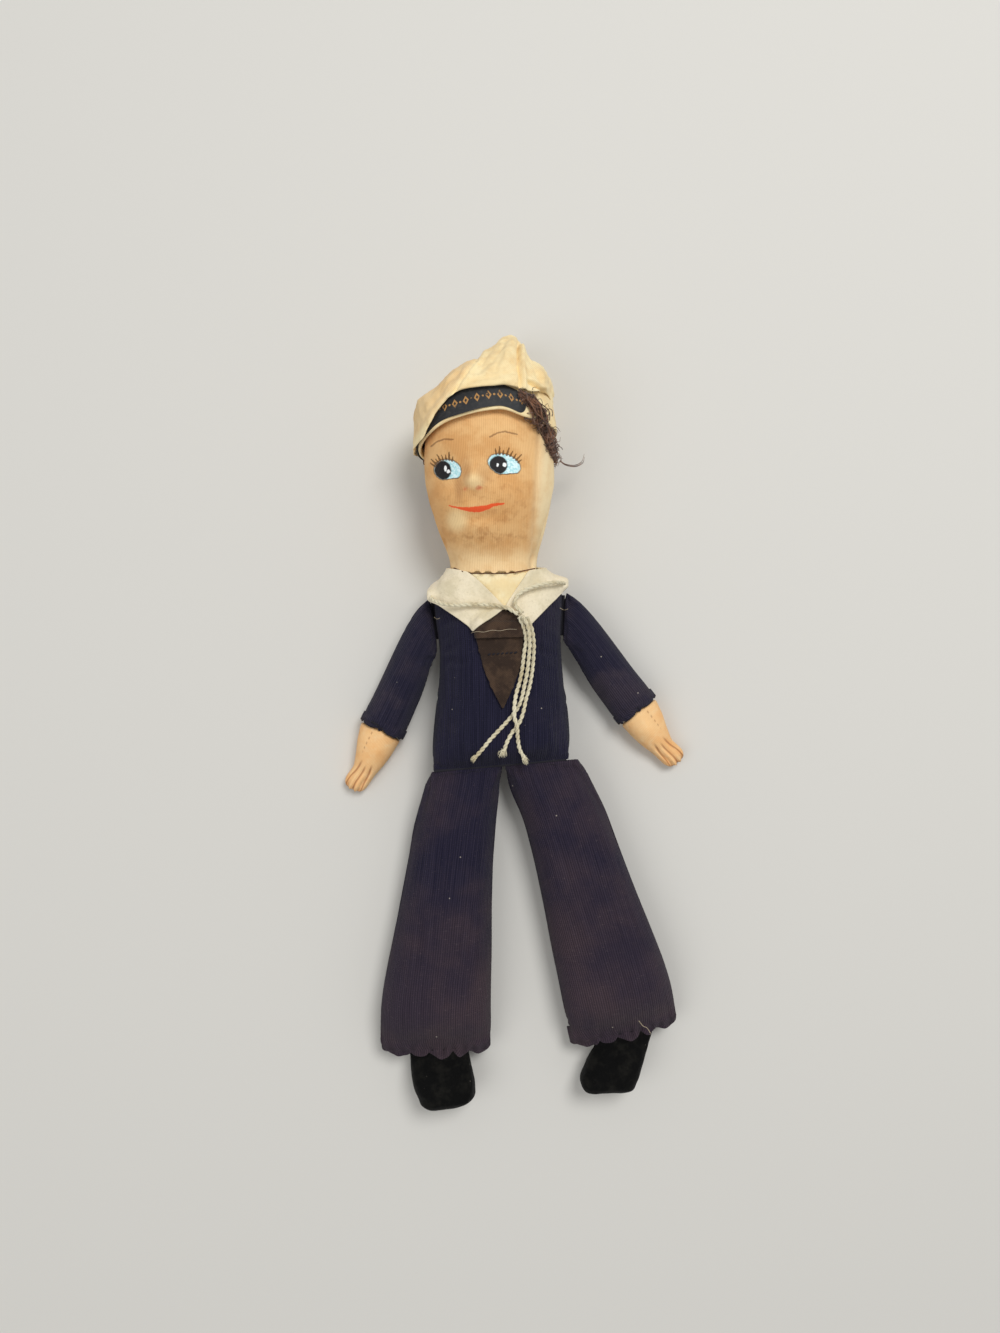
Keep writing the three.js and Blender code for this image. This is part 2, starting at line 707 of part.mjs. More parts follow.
function headForm(floor) {
  const station = (share, halfWidth, z, halfDepth) => [headLength * share, 0, z, halfWidth, halfDepth, 2.15];
  return {
    sides: 24,
    rings: 15,
    round: crownRound,
    floor,
    stations: [
      station(-0.06, neckHalfWidth, 0, neckHalfDepth),
      station(0, neckHalfWidth, 0, neckHalfDepth),
      station(0.075, 0.71 * headHalfWidth, 0.3 * headMiddle, neckHalfDepth + 1.4),
      station(0.185, 0.84 * headHalfWidth, 0.6 * headMiddle, 0.85 * headHalfDepth),
      station(0.315, 0.96 * headHalfWidth, 0.85 * headMiddle, 0.96 * headHalfDepth),
      station(0.445, headHalfWidth, headMiddle, headHalfDepth + 0.3),
      station(0.56, headHalfWidth, headMiddle, headHalfDepth + 0.3),
      station(0.667, 0.985 * headHalfWidth, headMiddle, headHalfDepth),
      station(1, 0.985 * headHalfWidth, headMiddle, headHalfDepth),
    ],
    shape(point, { z }) {
      const azimuth = THREE.MathUtils.radToDeg(Math.atan2(point.x, point.z - z)) - faceTurn;
      const share = point.y / headLength;
      const relief =
        noseLength * bump(azimuth, 0, 8) * bump(share, 0.395, 0.05) +
        0.7 * (bump(azimuth, 34, 17) + bump(azimuth, -34, 17)) * bump(share, 0.3, 0.1) +
        0.7 * bump(azimuth, 0, 20) * bump(share, 0.15, 0.06) -
        0.7 * (bump(azimuth, 26, 12) + bump(azimuth, -26, 12)) * bump(share, 0.48, 0.06);
      const out = new THREE.Vector2(point.x, point.z - z).setLength(relief);
      point.x += out.x;
      point.z += out.y;
    },
  };
}

const headSkin = (grow, detail) => stuffed(headForm(headFloor + Math.max(0, headLift - grow)), grow, detail);
const ownNeckNormal = neckNormal.clone().applyAxisAngle(new THREE.Vector3(0, 0, 1), -rad(headLean));
const underNeck = (offset) => backFrom(new THREE.Vector3(), ownNeckNormal, offset);
const headHollow = headSkin(-coverCloth, 0.7);
const headShell = headSkin(0).subtract(underNeck(gap / 2)).subtract(headHollow);
// The face mask is stiffened cloth over the front of the head, sewn to the back cloth at its sides.
const maskEdge = new THREE.Vector3(0, 0, headMiddle - 0.5);
const forward = new THREE.Vector3(0, 0, 1);
const behindMask = backFrom(maskEdge, forward, gap / 2);
const beforeMask = beyond(maskEdge.clone().addScaledVector(forward, -gap / 2), forward);
add('face_mask', headShell.subtract(behindMask), clothOf('#d9a870'), head);
add('head_back', headShell.subtract(beforeMask), clothOf('#e2c792'), head);
const headFill = headSkin(-coverCloth - gap, 0.7);
add('head_stuffing', headFill.subtract(underNeck(gap / 2)), stuffing, head);

// Cap: a band on the head, a ribbon round it and a soft crown that falls to one side

const cap = new THREE.Group();
cap.position.set(0, capHeight, headMiddle);
cap.rotation.set(-rad(capLean), 0, rad(capTilt));
head.add(cap);
head.updateMatrixWorld(true);
cap.updateMatrix();
const capMatrix = cap.matrix.clone();
const capInverse = capMatrix.clone().invert();
const capUp = new THREE.Vector3(0, 1, 0).transformDirection(capMatrix);
const onCap = (rise) => new THREE.Vector3(0, rise, 0).applyMatrix4(capMatrix);
const aboveCap = (rise) => beyond(onCap(rise), capUp);
const bandHalfWidth = headHalfWidth + gap + 0.05;
const bandHalfDepth = (headHalfDepth + 0.3) / Math.cos(rad(capLean)) + gap + 0.1;

// Cloth of the cap that would reach below the floor lies flat on it instead.
function onFloor(point, lift) {
  point.applyMatrix4(capMatrix);
  point.z = Math.max(point.z, headFloor + lift);
  point.applyMatrix4(capInverse);
}

function bandSkin(grow, low, high, lift) {
  const station = (y) => [y, 0, 0, bandHalfWidth, bandHalfDepth, 2.2];
  const form = {
    sides: 24,
    rings: 2,
    cut: true,
    stations: [station(low), station((low + high) / 2), station(high)],
    shape: (point) => onFloor(point, lift),
  };
  return stuffed(form, grow).transform(capMatrix.elements);
}

const band = bandSkin(bandCloth, 0, bandHeight, 0).subtract(bandSkin(0, -1, bandHeight + 1, bandCloth));
add('cap_band', band, clothOf('#dfc592'), head);

const tallyInner = bandCloth + gap;
const tallyTop = tallyRise + tallyWidth;
const tallyEnd = crownPeakShift + 1.5; // its rounded end, across the head
const tallyFront = prism([
  [-2 * headLength, 0],
  [tallyEnd, 0],
  [tallyEnd, 2 * headLength],
  [-2 * headLength, 2 * headLength],
], headMiddle - 9, 2 * headLength);
const tally = bandSkin(tallyInner + ribbonCloth, tallyRise, tallyTop, 0)
  .subtract(bandSkin(tallyInner, tallyRise - 1, tallyTop + 1, 0))
  .intersect(tallyFront);
add('cap_tally', tally, clothOf('#1f2223', 0.6), head);

function crownForm(lift) {
  const bottom = bandHeight + gap;
  const top = bottom + crownHeight;
  const station = (share, shift, width, depth) => [
    bottom + crownHeight * share,
    shift * crownPeakShift,
    0,
    width * (bandHalfWidth + bandCloth),
    depth * (bandHalfDepth + bandCloth),
    2.1,
  ];
  return {
    sides: 24,
    rings: 8,
    cut: true,
    stations: [
      station(0, 0, 1, 1),
      station(0.12, 0.05, 0.95, 0.98),
      station(0.24, 0.18, 0.85, 0.91),
      station(0.45, 0.41, 0.67, 0.75),
      station(0.71, 0.67, 0.39, 0.49),
      station(0.91, 0.95, 0.15, 0.24),
      [top, crownPeakShift, 0, 1.2, 1.8, 2],
    ],
    shape(point, { x, z }) {
      const azimuth = Math.atan2(point.x - x, point.z - z);
      const rise = THREE.MathUtils.clamp((point.y - bottom) / crownHeight, 0, 1);
      const pleat = crownPleat * Math.cos(9 * azimuth) * Math.min(1, rise * 5) * (1 - rise);
      const creases = bump(azimuth, -0.75, 0.22) + bump(azimuth, 0.55, 0.2);
      const crease = crownCrease * creases * rise * (1 - rise) * 4;
      const out = new THREE.Vector2(point.x - x, point.z - z).setLength(pleat - crease);
      point.x += out.x;
      point.z += out.y;
      onFloor(point, lift);
    },
  };
}

const crownSkin = (grow, lift) => stuffed(crownForm(lift), grow).transform(capMatrix.elements);
const crownMouth = bandSkin(-0.2, bandHeight - 1, bandHeight + 1.5, crownCloth);
const crownInside = crownSkin(-crownCloth, crownCloth).add(crownMouth);
add('cap_crown', mainBody(crownSkin(0, 0).subtract(crownInside)), clothOf('#dcc18c'), head);

// Hair: a fringe of mohair under the band, curls at the doll's left temple and one stray lock

const hairPlane = new THREE.Vector3(0, hairlineHeight, headMiddle);
const hairNormal = new THREE.Vector3(0, -1.1, 1);
const wig = headSkin(gap + hairDepth).subtract(headSkin(gap))
  .subtract(aboveCap(-gap)).subtract(beyond(hairPlane, hairNormal));
add('wig', wig, clothOf('#5f4032', 1), head);

function curl(x, y, z, size) {
  const ball = new THREE.SphereGeometry(size, 10, 8);
  ball.scale(0.9, 1.2, 0.9);
  ball.translate(x, y, z);
  return solidOf(ball);
}

// Curls lie over the band in a row round the temple: turn from the front, rise and size of each
const curlRow = [
  { turn: 34, rise: 6.4, size: 0.8 },
  { turn: 46, rise: 4, size: 1 },
  { turn: 60, rise: 0.6, size: 0.9 },
];
const curlAt = ({ turn, rise, size }) => curl(
  (headHalfWidth + 2) * Math.sin(rad(turn)),
  capHeight + rise,
  headMiddle + (headHalfDepth + 2) * Math.cos(rad(turn)),
  size * curlSize,
);
const curls = curlRow.map(curlAt).reduce((all, one) => all.add(one))
  .subtract(bandSkin(tallyInner, -20, bandHeight + 1, 0)).subtract(tally.translate([gap, 0, gap])).subtract(tally)
  .subtract(crownSkin(gap, 0)).subtract(headSkin(gap + hairDepth + gap));
add('side_curls', mainBody(curls), clothOf('#6b4a38', 1), head);

// A tube along a route of points chosen by hand
function cord(points, diameter, step) {
  const path = new THREE.CatmullRomCurve3(points.map((p) => new THREE.Vector3(...p)), false, 'centripetal');
  const section = new THREE.Shape();
  section.absarc(0, 0, diameter / 2, 0, 2 * Math.PI);
  const ring = new THREE.Shape(section.getSpacedPoints(cordSides).slice(0, cordSides));
  const steps = Math.round(path.getLength() / step);
  const geometry = new THREE.ExtrudeGeometry(ring, { steps, bevelEnabled: false, extrudePath: path });
  console.log(`cord of ${path.getLength().toFixed(1)} mm in ${steps} steps`);
  return solidOf(geometry);
}

const strayRoute = [
  [20.3, 29.2, headMiddle - 3],
  [21.9, 28.5, headMiddle - 5],
  [24.9, 28.4, headMiddle - 7],
  [27, 29.6, headMiddle - 8],
  [27.9, 32, headMiddle - 8.5],
];
add('stray_lock', cord(strayRoute, strayLockDiameter, 2.2), clothOf('#5f4032', 1), head);

// Lanyard: one cord round the neck and over the lapels, and three tails down the chest

const cordWhite = clothOf('#ebe4c8');
const loopRoute = [
  [4.6, 26.1, 24.2],
  [0.8, 28, 24.2],
  [-6.8, 28.8, 23.2],
  [-12.4, 28.6, 22.2],
  [-16.5, 29, 20.4],
  [-20.2, 30.6, 16.4],
  [-21, 33.2, 10.5],
  [-17, 36.8, 4.4],
  [-9.5, 38.6, 0.9],
  [-1, 39, 0.7],
  [8, 38.8, 0.9],
  [15.6, 38, 4.4],
  [19.4, 36.2, 10.5],
  [19, 35.4, 16],
  [15.8, 35.2, 20],
  [12.4, 34.6, 22],
  [7.6, 33.2, 23.2],
  [4.4, 31, 23.6],
  [4, 28.6, 23.9],
  [5.9, 26.4, 24.2],
];
add('lanyard_loop', cord(loopRoute, cordDiameter, 2.6), cordWhite);

const tailRoutes = {
  right: [
    [4.9, 25.2, 24],
    [6.1, 22.8, 23.9],
    [6.9, 19, 23.4],
    [6.4, 15.4, 23.1],
    [5.9, 11, 22.6],
    [5.1, 7, 22.6],
    [4.2, 4, 23.3],
    [3.7, 0.6, 24.2],
    [3.7, -2.4, 24.4],
    [4.4, -5, 23.9],
    [4.6, -8, 22.6],
    [5.2, -11.6, 21.2],
    [6.6, -14.2, 19.8],
  ],
  middle: [
    [5.9, 25.4, 25.6],
    [7.4, 22.4, 25],
    [7.9, 18, 24.4],
    [7.7, 14.4, 24],
    [7.2, 10, 23.7],
    [6.4, 6, 23.5],
    [5.6, 2.4, 22.9],
    [4.2, -0.6, 22.3],
    [1.8, -3.6, 22.2],
    [-0.8, -6.4, 22.2],
    [-3.2, -9, 22.1],
    [-5.3, -11.6, 21.5],
    [-7.4, -14, 20.5],
  ],
  left: [
    [7.2, 25.2, 23.6],
    [8.5, 22, 22.4],
    [9.1, 18.2, 22],
    [9, 14.2, 22],
    [8.6, 10, 22],
    [7.9, 6, 22],
    [6.9, 2.4, 22.1],
    [6.2, -1, 22.1],
    [5, -4.2, 22.2],
    [3.1, -6.8, 22.2],
    [1.6, -9.6, 22.1],
    [0.8, -12, 21.2],
  ],
};

// Each tail ends in a short worn tuft, in line with its last stretch
function tuft(route, size, length) {
  const [before, last] = route.slice(-2).map((p) => new THREE.Vector3(...p));
  const way = last.clone().sub(before).normalize();
  const drop = new THREE.CylinderGeometry(cordDiameter / 2 - 0.05, size, length, 8, 1);
  drop.applyQuaternion(new THREE.Quaternion().setFromUnitVectors(new THREE.Vector3(0, -1, 0), way));
  const middle = last.clone().addScaledVector(way, length / 2 + gap);
  drop.translate(middle.x, middle.y, middle.z);
  return solidOf(drop);
}

for (const [name, route] of Object.entries(tailRoutes)) {
  add(`lanyard_tail_${name}`, cord(route, cordDiameter, 2.6), cordWhite);
  add(`lanyard_end_${name}`, tuft(route, 0.85, 1.6), cordWhite);
}

export default group;
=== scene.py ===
# A cloth sailor doll: the looks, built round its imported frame.
# Lengths are written in millimetres and turned to metres where a mesh or a lamp is made.
import math
import random

import bmesh
import bpy
from mathutils import Matrix, Vector, noise
from mathutils.bvhtree import BVHTree


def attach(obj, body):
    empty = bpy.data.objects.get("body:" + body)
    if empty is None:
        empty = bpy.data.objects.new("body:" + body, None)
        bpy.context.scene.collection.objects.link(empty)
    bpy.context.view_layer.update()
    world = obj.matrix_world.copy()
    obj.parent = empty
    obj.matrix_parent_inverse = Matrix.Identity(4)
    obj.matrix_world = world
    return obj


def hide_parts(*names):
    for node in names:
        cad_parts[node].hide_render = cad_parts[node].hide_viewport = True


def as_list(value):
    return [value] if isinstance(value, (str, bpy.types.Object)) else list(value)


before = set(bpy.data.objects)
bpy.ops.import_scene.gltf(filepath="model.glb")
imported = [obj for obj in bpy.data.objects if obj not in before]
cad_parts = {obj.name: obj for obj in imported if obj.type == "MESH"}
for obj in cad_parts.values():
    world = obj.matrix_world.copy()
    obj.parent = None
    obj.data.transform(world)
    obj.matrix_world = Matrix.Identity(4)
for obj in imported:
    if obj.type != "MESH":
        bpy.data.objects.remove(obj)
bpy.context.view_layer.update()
scene = bpy.context.scene
scene.view_settings.view_transform = "Standard"
mm = 0.001
fullTurn = 6.2832

# where the photograph was taken from, in millimetres, and the pixel at its middle
photo = {"x": -0.3, "y": 11.55, "height": 300, "fieldLong": 2 * math.atan(200 / 300), "middle": (500, 666.5)}


def makeCamera():
    data = bpy.data.cameras.new("camera")
    data.sensor_fit = "VERTICAL"
    data.sensor_height = 36
    data.sensor_width = 27
    data.angle_y = photo["fieldLong"]
    data.clip_start = 0.01
    data.clip_end = 10
    camera = bpy.data.objects.new("camera", data)
    camera.location = (photo["x"] * mm, photo["y"] * mm, photo["height"] * mm)
    scene.collection.objects.link(camera)
    scene.camera = camera


makeCamera()
print("camera made")


def onPhoto(px, py, z):
    # the point at height z that the camera sees at a pixel of the photograph
    reach = (photo["height"] - z) / 1000
    across, down = photo["middle"]
    return Vector((photo["x"] + (px - across) * reach, photo["y"] - (py - down) * reach, z))


def pixelOf(point):
    # the pixel of the photograph where the camera sees a point
    reach = (photo["height"] - point.z) / 1000
    across, down = photo["middle"]
    return across + (point.x - photo["x"]) / reach, down - (point.y - photo["y"]) / reach


def seenAt(tree, px, py, lift=0):
    # the point of a skin that the camera sees at a pixel of the photograph
    eye = Vector((photo["x"], photo["y"], photo["height"]))
    way = (onPhoto(px, py, 0) - eye).normalized()
    hit = tree.ray_cast(eye * mm, way, 1)[0]
    return (onPhoto(px, py, 12) if hit is None else hit / mm) - way * lift


def lerp(a, b, t):
    return a + (b - a) * t


def smooth(low, high, value):
    t = min(1, max(0, (value - low) / (high - low)))
    return t * t * (3 - 2 * t)


def hump(value, middle, width):
    return math.exp(-(((value - middle) / width) ** 2))


def along(points, t):
    # the point at share t of a polyline with evenly counted points
    place = min(max(t, 0), 1) * (len(points) - 1)
    k = min(int(place), len(points) - 2)
    return points[k].lerp(points[k + 1], place - k)


def splineThrough(points, perSpan=8):
    # a centripetal Catmull-Rom curve through the points
    out = []
    ends = [points[0] * 2 - points[1]] + points + [points[-1] * 2 - points[-2]]
    for k in range(1, len(ends) - 2):
        p0, p1, p2, p3 = ends[k - 1:k + 3]
        t1 = max((p1 - p0).length, 1e-6) ** 0.5
        t2 = t1 + max((p2 - p1).length, 1e-6) ** 0.5
        t3 = t2 + max((p3 - p2).length, 1e-6) ** 0.5
        for j in range(perSpan):
            t = t1 + (t2 - t1) * j / perSpan
            a1 = p0 * ((t1 - t) / t1) + p1 * (t / t1)
            a2 = p1 * ((t2 - t) / (t2 - t1)) + p2 * ((t - t1) / (t2 - t1))
            a3 = p2 * ((t3 - t) / (t3 - t2)) + p3 * ((t - t2) / (t3 - t2))
            b1 = a1 * ((t2 - t) / t2) + a2 * (t / t2)
            b2 = a2 * ((t3 - t) / (t3 - t1)) + a3 * ((t - t1) / (t3 - t1))
            out.append(b1 * ((t2 - t) / (t2 - t1)) + b2 * ((t - t1) / (t2 - t1)))
    return out + [points[-1]]


def evened(points, count):
    # the same line with its points evenly spaced
    runs = [0]
    for a, b in zip(points, points[1:]):
        runs.append(runs[-1] + (b - a).length)
    out = []
    k = 0
    for j in range(count):
        goal = runs[-1] * j / (count - 1)
        while k < len(points) - 2 and runs[k + 1] < goal:
            k += 1
        span = max(runs[k + 1] - runs[k], 1e-12)
        out.append(points[k].lerp(points[k + 1], min(1, (goal - runs[k]) / span)))
    return out


def flatWay(turn):
    return Vector((math.cos(turn), math.sin(turn), 0))


def turnsOf(count, low=-180, high=180):
    return [low + (high - low) * k / count for k in range(count + 1)]


def scattered(seeded, spread):
    return Vector([seeded.gauss(0, spread) for _ in range(3)])


def pieceFrom(bm, name, material, body, slot):
    mesh = bpy.data.meshes.new(name)
    for face in bm.faces:
        face.smooth = True
    bm.to_mesh(mesh)
    bm.free()
    piece = bpy.data.objects.new(name, mesh)
    scene.collection.objects.link(piece)
    mesh.materials.append(material)
    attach(piece, body)
    return piece


def finishWith(piece, kind, **settings):
    # adds a modifier and applies it, so the piece keeps only its mesh
    modifier = piece.modifiers.new(kind.lower(), kind)
    for key, value in settings.items():
        setattr(modifier, key, value)
    bpy.context.view_layer.update()
    seen = piece.evaluated_get(bpy.context.evaluated_depsgraph_get())
    mesh = bpy.data.meshes.new_from_object(seen)
    piece.modifiers.clear()
    piece.data = mesh
    return piece


def treeOf(*names):
    # one search tree over CAD nodes or finished pieces, in metres
    bm = bmesh.new()
    for name in names:
        bm.from_mesh(bpy.data.objects[name].data)
    tree = BVHTree.FromBMesh(bm)
    bm.free()
    return tree


def netOf(bm, rows, uvs=None):
    # a grid whose points are moved to rows of equal count, in millimetres
    ups, overs = len(rows) - 1, len(rows[0]) - 1
    made = bmesh.ops.create_grid(bm, x_segments=overs, y_segments=ups, size=0.5)["verts"]
    place = {v: (round((v.co.y + 0.5) * ups), round((v.co.x + 0.5) * overs)) for v in made}
    if uvs:
        layer = bm.loops.layers.uv.get("cloth") or bm.loops.layers.uv.new("cloth")
        for face in {f for v in made for f in v.link_faces}:
            for loop in face.loops:
                r, k = place[loop.vert]
                loop[layer].uv = uvs[r][k]
    for vert, (r, k) in place.items():
        vert.co = rows[r][k] * mm
    return made


def closeNet(bm, ends=True):
    bmesh.ops.remove_doubles(bm, verts=bm.verts, dist=1e-6)
    rims = [e for e in bm.edges if e.is_boundary] if ends else []
    if rims:
        made = bmesh.ops.holes_fill(bm, edges=rims, sides=0)["faces"]
        bmesh.ops.triangulate(bm, faces=made)
    bmesh.ops.recalc_face_normals(bm, faces=bm.faces)


def gridOf(count, marks, at):
    # rows of points, each from its share up the net and a mark across it
    return [[at(r / (count - 1), mark) for mark in marks] for r in range(count)]


def relaxed(rows, passes, closed, share=0.5):
    # evens out a net of points, all but its first and last rows
    count = len(rows[0]) - (1 if closed else 0)
    for _ in range(passes):
        new = [list(row) for row in rows]
        for r in range(1, len(rows) - 1):
            for k in range(count) if closed else range(1, count - 1):
                near = rows[r - 1][k] + rows[r + 1][k] + rows[r][(k - 1) % count] + rows[r][(k + 1) % count]
                new[r][k] = rows[r][k].lerp(near / 4, share)
            if closed:
                new[r][count] = new[r][0].copy()
        rows = new
    return rows


def clothUvs(rows):
    # how far each point lies across and along the cloth, in millimetres, counted from its middle column
    uvs = []
    middle = len(rows[0]) // 2
    runs = [0] * len(rows[0])
    for r, row in enumerate(rows):
        if r:
            runs = [run + (a - b).length for run, a, b in zip(runs, row, rows[r - 1])]
        steps = [0]
        for a, b in zip(row, row[1:]):
            steps.append(steps[-1] + (b - a).length)
        uvs.append([(step - steps[middle], run) for step, run in zip(steps, runs)])
    return uvs


def closedFrom(bm, name, material, body, slot, *replaced):
    # closed tubes as one piece
    closeNet(bm)
    piece = pieceFrom(bm, name, material, body, slot)
    if replaced:
        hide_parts(*replaced)
    return piece


def sewn(name, rows, material, body, slot, replaced=(), cloth=0, offset=0, fill=0, uvs=None, swell=None):
    # a net as a finished piece: a closed form, or a cloth where it has a thickness
    bm = bmesh.new()
    netOf(bm, rows, uvs or clothUvs(rows))
    closeNet(bm, ends=not cloth)
    piece = pieceFrom(bm, name, material, body, slot)
    if cloth:
        finishWith(piece, "SOLIDIFY", thickness=cloth * mm, offset=offset)
    if swell:
        swell(piece)
    finishWith(piece, "SUBSURF", levels=1, render_levels=1)
    if replaced:
        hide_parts(*replaced)
    return piece


class Wire:
    # a socket that sums can be written with
    def __init__(self, finish, socket):
        self.finish = finish
        self.socket = socket

    def maths(self, operation, *values):
        return self.finish.add("ShaderNodeMath", {"operation": operation}, values)

    def __add__(self, other):
        return self.maths("ADD", self, other)

    def __sub__(self, other):
        return self.maths("SUBTRACT", self, other)

    def __rsub__(self, other):
        return self.maths("SUBTRACT", other, self)

    def __mul__(self, other):
        return self.maths("MULTIPLY", self, other)

    def __truediv__(self, other):
        return self.maths("DIVIDE", self, other)

    def __pow__(self, other):
        return self.maths("POWER", self, other)

    def __lt__(self, other):
        return self.maths("LESS_THAN", self, other)

    __radd__ = __add__
    __rmul__ = __mul__

    def sin(self):
        return self.maths("SINE", self)

    def abs(self):
        return self.maths("ABSOLUTE", self)

    def root(self):
        return self.maths("SQRT", self)

    def least(self, other):
        return self.maths("MINIMUM", self, other)

    def most(self, other):
        return self.maths("MAXIMUM", self, other)

    def hump(self, middle, width):
        return self.maths("EXPONENT", ((self - middle) / width) ** 2 * -1)

    def ribs(self, pitch, push=None):
        # 0 to 1 and back over each pitch
        turn = self * (fullTurn / pitch)
        return (turn if push is None else turn + push).sin() * 0.5 + 0.5

    def rise(self, low, high):
        # 0 below low and 1 above high, or the other way round
        if low > high:
            return 1 - self.rise(high, low)
        inputs = {"Value": self, "From Min": low, "From Max": high}
        return self.finish.add("ShaderNodeMapRange", {"interpolation_type": "SMOOTHSTEP"}, inputs)


def mostOf(masks):
    best, *others = masks
    for other in others:
        best = best.most(other)
    return best


class Finish:
    # one material and its nodes: a ground colour, and washes over it
    def __init__(self, name, **fixed):
        self.material = bpy.data.materials.new(name)
        self.material.use_nodes = True
        self.tree = self.material.node_tree
        self.surface = self.tree.nodes["Principled BSDF"]
        self.where = self.place("Object")
        self.set(**fixed)

    def plug(self, socket, value):
        if isinstance(value, Wire):
            self.tree.links.new(value.socket, socket)
        else:
            socket.default_value = value

    def add(self, kind, settings=None, inputs=(), out=0):
        node = self.tree.nodes.new(kind)
        for key, value in (settings or {}).items():
            setattr(node, key, value)
        for key, value in inputs.items() if isinstance(inputs, dict) else enumerate(inputs):
            self.plug(node.inputs[key], value)
        return Wire(self, node.outputs[out])

    def set(self, **values):
        # socket names without their spaces, such as BaseColor
        for socket in self.surface.inputs:
            name = socket.name.replace(" ", "")
            if name in values:
                self.plug(socket, values[name])

    def place(self, source):
        return self.add("ShaderNodeTexCoord", out=source)

    def parts(self, vector):
        node = self.add("ShaderNodeSeparateXYZ", None, [vector]).socket.node
        return [Wire(self, socket) for socket in node.outputs]

    def weave(self):
        # how far a point lies across and along its cloth
        return self.parts(self.place("UV"))[:2]

    def onMap(self):
        # the pixel of the photograph, worked out from the place on the doll
        x, y, z = self.parts(self.where)
        reach = photo["height"] * mm - z
        across, down = photo["middle"]
        return (x - photo["x"] * mm) / reach * 1000 + across, down - (y - photo["y"] * mm) / reach * 1000

    def vectorMaths(self, operation, *values, out=0):
        return self.add("ShaderNodeVectorMath", {"operation": operation}, values, out)

    def clouds(self, scale, detail=2, roughness=0.5, at=None):
        inputs = {"Vector": at or self.where, "Scale": scale, "Detail": detail, "Roughness": roughness}
        return self.add("ShaderNodeTexNoise", None, inputs)

    def cells(self, scale):
        return self.add("ShaderNodeTexVoronoi", None, {"Vector": self.where, "Scale": scale})

    def mix(self, factor, first, second):
        # two colours blended by a mask, each as a screen shows it or from a node
        first, second = [color if isinstance(color, Wire) else tone(*color) for color in (first, second)]
        return self.add("ShaderNodeMix", {"data_type": "RGBA"}, {0: factor, 6: first, 7: second}, out=2)

    def ground(self, factor, first, second):
        self.color = self.mix(factor, first, second)

    def wash(self, factor, color):
        self.color = self.mix(factor, self.color, color)

    def done(self, height, distance, **values):
        # height is in shares of a distance in millimetres
        inputs = {"Height": height, "Distance": distance * mm, "Strength": 1}
        self.set(BaseColor=self.color, Normal=self.add("ShaderNodeBump", None, inputs), **values)
        return self.material


def tone(*parts):
    # a colour as a screen shows it
    def linear(value):
        value = value / 255
        return value / 12.92 if value <= 0.04045 else ((value + 0.055) / 1.055) ** 2.4
    return (*map(linear, parts), 1)


def knitFinish(name, look):
    # a fine rib that runs along the cloth, with worn and faded places
    finish = Finish(name, Roughness=0.95, SheenWeight=0.05, SheenRoughness=0.5, SpecularIORLevel=0.2)
    cloth = finish.place("UV")
    across, down, _ = finish.parts(cloth)
    wander = finish.clouds(60) - 0.5
    rib = across.ribs(look["rib"], wander * 5)
    row = down.ribs(look["row"], wander * 7)
    streaks, slubs = [
        finish.clouds(1, 2, 0.6, finish.vectorMaths("MULTIPLY", cloth, stretch))
        for stretch in ((1.9, 0.05, 1), (0.35, 1.6, 1))
    ]
    grain = finish.clouds(1900, 2, 0.7)
    worn = finish.clouds(look["patchScale"], 4, 0.62).rise(look["patchLow"], look["patchHigh"])
    if "wornWhere" in look:
        worn = (worn * 0.75 + look["wornWhere"](finish)).least(1).most(0)
    finish.ground(streaks.rise(0.34, 0.66), look["dark"], look["main"])
    finish.wash(worn * look["wornShare"], look["worn"])
    finish.wash(slubs.rise(0.6, 0.78) * 0.35 * worn, look["lint"])
    finish.wash((1 - rib) * look["ribShade"], look["deep"])
    finish.wash(grain.rise(0.62, 0.8) * 0.3, look["lint"])
    finish.wash(finish.cells(look["speckScale"]).rise(0.045, 0.02) * 0.75, (200, 190, 175))
    return finish.done(rib * 0.7 + row * 0.25 + grain * 0.5 + streaks * 0.6, look["depth"])


def stockinetFinish(name, look):
    # pale stretched knit, with painted shade in the low places of its ribs and darker flecks
    finish = Finish(name, Roughness=0.9, SheenWeight=0.06)
    across, down = finish.weave()
    rib = across.ribs(0.42)
    row = down.ribs(0.3, rib * 2)
    grain = finish.clouds(2100, 2, 0.7)
    finish.ground(finish.clouds(130, 4, 0.6).rise(0.35, 0.68), look["main"], look["stain"])
    finish.wash(finish.clouds(420, 3).rise(0.5, 0.75) * 0.35, look["light"])
    # painted shade in the rib hollows, and darker flecks of grain
    finish.wash((1 - rib) * 0.16 + grain.rise(0.6, 0.8) * 0.12, look["deep"])
    if "shade" in look:
        finish.wash(look["shade"](finish), look["shadeTone"])
    return finish.done(rib * 0.6 + row * 0.3 + grain * 0.4, look["depth"])


print("helpers ready")


def cordFinish():
    finish = Finish("whiteCord", Roughness=0.85, SheenWeight=0.15)
    across, down = finish.weave()
    fibres = (across * 9 + down * 14).sin() * 0.5 + 0.5
    fuzz = finish.clouds(2600, 2, 0.7)
    finish.ground(finish.clouds(170, 3, 0.6).rise(0.38, 0.7), (236, 228, 198), (205, 190, 152))
    finish.wash((1 - fibres) * 0.22, (150, 132, 98))
    finish.wash(fuzz.rise(0.6, 0.8) * 0.3, (250, 245, 226))
    return finish.done(fibres * 0.7 + fuzz * 0.6, 0.06)


rope = {"diameter": 1.2, "plies": 2, "pitch": 3.3, "sides": 9, "step": 0.3}
whiteCord = cordFinish()


def framesAlong(points):
    # each point with two directions square to the line, which turn as little as they can
    out = []
    side = None
    for k, point in enumerate(points):
        way = (points[min(k + 1, len(points) - 1)] - points[max(k - 1, 0)]).normalized()
        if side is None:
            side = way.orthogonal().normalized()
        side = (side - way * side.dot(way)).normalized()
        out.append((point, side, way.cross(side)))
    return out


